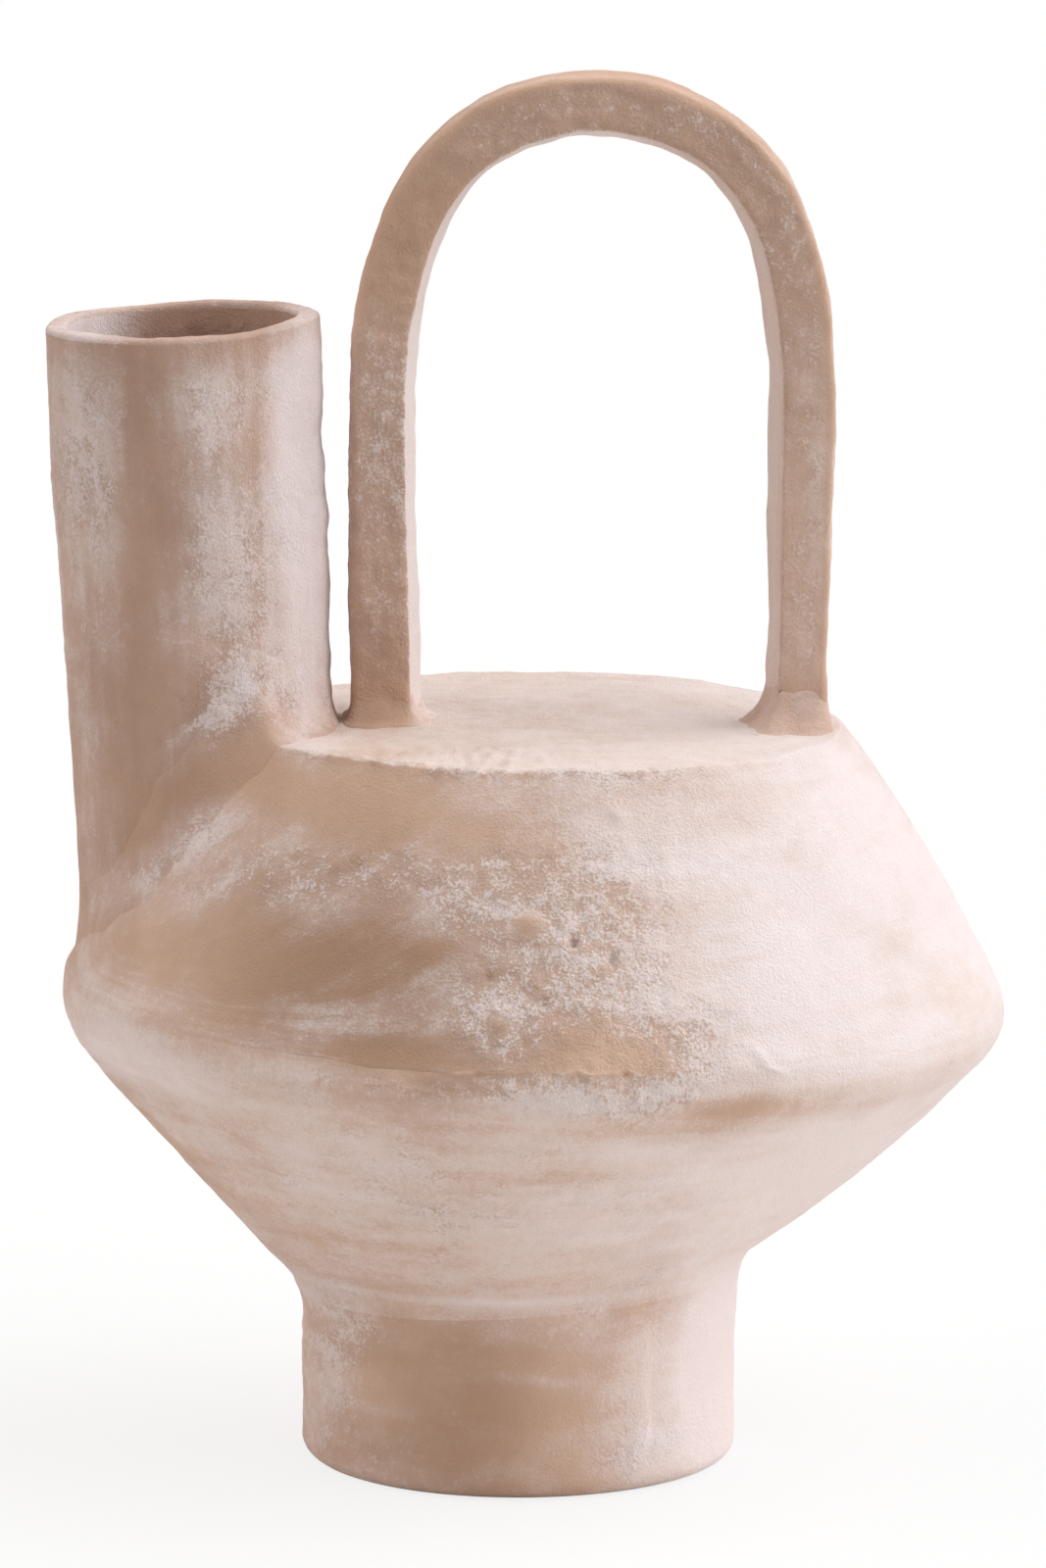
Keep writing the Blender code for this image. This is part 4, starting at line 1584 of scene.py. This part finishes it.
# Scale, detail and roughness of the clay's noises, from its wide drifts to its sand, and of the brush's two
CLAY_NOISES = (
    (24.0, 4.0, 0.55),
    (62.0, 6.0, 0.68),
    (120.0, 5.0, 0.62),
    (330.0, 3.0, 0.60),
    (1150.0, 3.0, 0.62),
    (2600.0, 2.0, 0.60),
)
STROKE_NOISES = ((520.0, 4.0, 0.65), (150.0, 5.0, 0.66))


@dataclass(frozen=True)
class ChalkedClay:
    """Unglazed buff clay with a chalky slip brushed thinly over it, with painted shade in its pits and, on
    some pieces, round the left of the front.

    Attributes:
        name: Name of the material.
        clay: Colour of the bare clay.
        deep: Colour of the clay in its darker drifts, and of the painted shade in the pits of its rough grain.
        slip: Colour of the chalky slip.
        cover: How readily the slip covers the clay, 0 to 1.
        patchy: How unevenly it lies, where 1 is as on the body.
        core_shade: How much painted shade darkens the clay round the left of the front, where the form turns
            away from both lamps, 0 to 1.
        core_shade_colour: Colour of that painted shade.
        core: Middle of the painted shade.
        reach: How far it reaches along each axis.
        bump: Height of the finest grain in metres.
    """

    name: str
    clay: Colour = from_screen(216, 183, 161)
    deep: Colour = from_screen(203, 168, 146)
    slip: Colour = from_screen(249, 239, 241)
    cover: float = 0.5
    patchy: float = 1.0
    core_shade: float = 0.0
    core_shade_colour: Colour = from_screen(172, 138, 115)
    core: Triple = (-0.040, -0.112, 0.155)
    reach: Triple = (0.062, 0.100, 0.041)
    bump: float = 0.0011

    def material(self) -> bpy.types.Material:
        """Builds the material: drifts of clay colour, painted shade in the pits and round the left of the
        front, thin slip caught on torn grain, and a sandy bump.
        """
        bench = Bench(bpy.data.materials.new(self.name))
        place = bench.node("ShaderNodeTexCoord", {}, {}).outputs["Object"]
        strokes = bench.attribute("strokes").outputs["Vector"]
        wash = Flow(bench, bench.attribute("wash").outputs["Fac"])
        grit = Flow(bench, bench.attribute("grit").outputs["Fac"])
        drift, ragged, broken, fleck, grain, sand = (bench.noise(place, *each) for each in CLAY_NOISES)
        brush, swept = (bench.noise(strokes, *each) for each in STROKE_NOISES)
        rough = (grit + broken * 1.5).eased(0.22, 0.72)
        clouds = (ragged * 0.64 + swept * 0.30) * self.patchy
        level = wash + clouds + brush * 0.24 + (self.cover - 0.5)
        veil = level.eased(0.18, 1.12)
        dots = (level + fleck * 0.8 + grain * 1.2).eased(0.42, 0.98)
        crust = (level + fleck + grain * 1.6).eased(0.62, 0.90)
        speck = (grain * 0.6 + sand * 0.4).eased(-0.02, 0.16)
        dusted = speck * (level + fleck * 1.2).eased(0.22, 0.78)
        thick = 0.2 * level.eased(0.95, 1.35)
        film = veil * (0.42 - 0.18 * rough) + thick + 0.02
        caught = dots * (0.18 - 0.15 * rough) + crust * rough * 0.42
        slip = film + caught + dusted * (0.12 + 0.08 * rough)
        bare = bench.mixed(drift.eased(-0.18, 0.18), self.deep, self.clay)
        # Painted shade: the clay darkened round the left of the front, the core shade between the two lamps.
        if self.core_shade > 0.0:
            near = bench.far(place, self.core, self.reach).eased(1.25, 0.15)
            bare = bench.mixed(near * self.core_shade, bare, self.core_shade_colour)
        # Painted shade: the clay darkened towards the deep colour in the low pits of the rough grain, the
        # bump's recesses.
        shaded_pits = bench.mixed((grain + fleck).eased(0.08, -0.16) * rough * 0.55, bare, self.deep)
        colour = bench.mixed(slip, shaded_pits, self.slip)
        height = (
            fleck * (0.20 + 0.45 * rough)
            + grain * (0.44 + 0.32 * rough)
            + sand * (0.26 + 0.10 * rough)
            + brush * 0.14
        )
        bump = bench.node("ShaderNodeBump", {}, {"Strength": 1.0, "Distance": self.bump, "Height": height})
        bench.feed(bench.shader.inputs["Base Color"], colour)
        bench.feed(bench.shader.inputs["Roughness"], 0.78 + 0.17 * rough)
        bench.feed(bench.shader.inputs["Normal"], bump.outputs["Normal"])
        bench.shader.inputs["Specular IOR Level"].default_value = 0.06
        return bench.owner


FINISHES = {
    Piece.FLOOR: ChalkedClay("floor_clay", cover=0.30),
    # The foot and the upper cone carry painted shade round the left of the front.
    Piece.FOOT: ChalkedClay(
        "foot_clay", cover=0.48, core_shade=0.45, core=(-0.018, -0.058, 0.026), reach=(0.026, 0.080, 0.040)
    ),
    Piece.LOWER_CONE: ChalkedClay("lower_clay", cover=0.62),
    Piece.UPPER_CONE: ChalkedClay("upper_clay", cover=0.57, core_shade=1.0),
    Piece.DECK: ChalkedClay(
        "deck_clay", clay=from_screen(221, 197, 179), deep=from_screen(214, 187, 168), cover=0.68
    ),
    Piece.NECK: ChalkedClay(
        "neck_clay", clay=from_screen(203, 169, 149), deep=from_screen(187, 153, 133), cover=0.52
    ),
    Piece.NECK_WELD: ChalkedClay(
        "saddle_clay", clay=from_screen(208, 174, 153), deep=from_screen(194, 159, 138), cover=0.52
    ),
    Piece.HANDLE: ChalkedClay(
        "handle_clay",
        clay=from_screen(220, 183, 160),
        deep=from_screen(207, 170, 147),
        slip=from_screen(249, 239, 238),
        cover=0.29,
        patchy=0.4,
    ),
    Piece.LEFT_WELD: ChalkedClay("weld_clay", cover=0.50),
    Piece.RIGHT_WELD: ChalkedClay("right_weld_clay", clay=from_screen(222, 188, 166), cover=0.42),
}


# Studio


@dataclass
class Studio:
    """A plain pale floor, soft light and the camera.

    Attributes:
        pitch: How far the camera looks down.
        distance: From the camera to the point that it looks at.
        aim: That point.
        lens: Focal length in millimetres on the camera's sensor.
        fill: Strength of the even light all round.
    """

    pitch: float = math.radians(9.9)
    distance: float = 2.727
    aim: Triple = (0.0011, 0.0, 0.1901)
    lens: float = 225.0
    fill: float = 0.13

    def camera(self) -> None:
        """Sets the camera in front of the vase, looking along +Y and down."""
        data = bpy.data.cameras.new("camera")
        data.lens = self.lens
        data.clip_end = 60.0
        item = bpy.data.objects.new("camera", data)
        item.location = (
            self.aim[0],
            self.aim[1] - self.distance * math.cos(self.pitch),
            self.aim[2] + self.distance * math.sin(self.pitch),
        )
        item.rotation_euler = (math.pi / 2 - self.pitch, 0.0, 0.0)
        bpy.context.scene.collection.objects.link(item)
        bpy.context.scene.camera = item

    def lamp(self, name: str, away: Triple, level: float, spread: float, warmth: float = 0.0) -> None:
        """Lights the vase from one direction, as a wide soft box far away would.

        Args:
            name: Name of the lamp.
            away: Direction from the vase to the lamp.
            level: Light on a face turned to the lamp, where 1 shows a white face as white.
            spread: Width of the lamp as an angle in degrees.
            warmth: Share of the blue that its light lacks, with half of that of the green.
        """
        data = bpy.data.lights.new(name, "SUN")
        data.color = (1.0, 1.0 - 0.5 * warmth, 1.0 - warmth)
        data.energy = level * math.pi
        data.angle = math.radians(spread)
        item = bpy.data.objects.new(name, data)
        item.rotation_euler = (
            math.atan2(math.hypot(away[0], away[1]), away[2]),
            0.0,
            math.atan2(away[1], away[0]) + math.pi / 2,
        )
        bpy.context.scene.collection.objects.link(item)

    def surround(self) -> None:
        """Lights the vase evenly from a pale surround, which the camera sees as white."""
        bench = Bench(bpy.data.worlds.new("surround"))
        glow = (self.fill, 0.96 * self.fill, 0.91 * self.fill, 1.0)
        bench.feed(bench.shader.inputs["Color"], bench.mixed(bench.seen(), glow, (1.0, 1.0, 1.0, 1.0)))
        bpy.context.scene.world = bench.owner

    def floor(self) -> None:
        """Lays the pale floor. The camera sees it as white apart from the vase's shadow."""
        size = 14.0
        corners = [(-size, -size, 0), (size, -size, 0), (size, size, 0), (-size, size, 0)]
        mesh = bpy.data.meshes.new("floor")
        mesh.from_pydata(corners, [], [(0, 1, 2, 3)])
        item = bpy.data.objects.new("floor", mesh)
        bpy.context.scene.collection.objects.link(item)
        bench = Bench(bpy.data.materials.new("floor_paper"))
        seen = bench.seen()
        bench.shader.inputs["Roughness"].default_value = 1.0
        bench.shader.inputs["Specular IOR Level"].default_value = 0.0
        place = bench.node("ShaderNodeTexCoord", {}, {}).outputs["Object"]
        far = bench.far(place, (0.0, 0.0, 0.0), (1.0, 1.0, 1.0)).eased(0.40, 0.95)
        paper = bench.mixed(far, (0.90, 0.87, 0.83, 1.0), (0.30, 0.29, 0.28, 1.0))
        bench.feed(bench.shader.inputs["Base Color"], bench.mixed(seen, paper, (0.88, 0.88, 0.88, 1.0)))
        glow = bench.node("ShaderNodeEmission", {}, {"Color": (1.0, 1.0, 1.0, 1.0), "Strength": 1.0})
        shown = bench.node(
            "ShaderNodeMixShader",
            {},
            {0: 0.8 * seen, 1: bench.shader.outputs[0], 2: glow.outputs[0]},
        )
        bench.feed(bench.tree.nodes["Material Output"].inputs["Surface"], shown.outputs[0])
        mesh.materials.append(bench.owner)

    def build(self) -> None:
        """Sets up everything round the vase."""
        self.camera()
        self.surround()
        self.floor()
        self.lamp("right", (1.0, -0.16, 0.82), 0.85, 80.0)
        self.lamp("left", (-1.0, -0.12, 0.66), 0.41, 60.0, 0.08)
        self.lamp("top", (0.1, 0.15, 1.0), 0.27, 70.0)


def dress(made: dict[Piece, bpy.types.Object]) -> None:
    """Gives each piece its finish and ties it to the solid that it stands for.

    Args:
        made: Pieces by name.
    """
    for piece, item in made.items():
        item.data.materials.clear()
        item.data.materials.append(FINISHES[piece].material())
        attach(item, "root")
        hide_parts(piece.value)
        LOG.info("%s: %d faces", piece.value, len(item.data.polygons))


def main() -> None:
    """Builds the vase piece by piece, dresses it and lights it."""
    logging.basicConfig(level=logging.INFO, format="%(name)s %(message)s")
    bpy.context.scene.view_settings.view_transform = "Standard"
    hand = PottersHand()
    body = VaseBody(hand)
    neck = Neck(hand, body)
    made = body.build(neck.bore)
    for part in (neck, NeckWeld(hand, neck), Handle(hand, body)):
        made.update(part.build())
    dress(made)
    Studio().build()


if __name__ == "__main__":
    main()
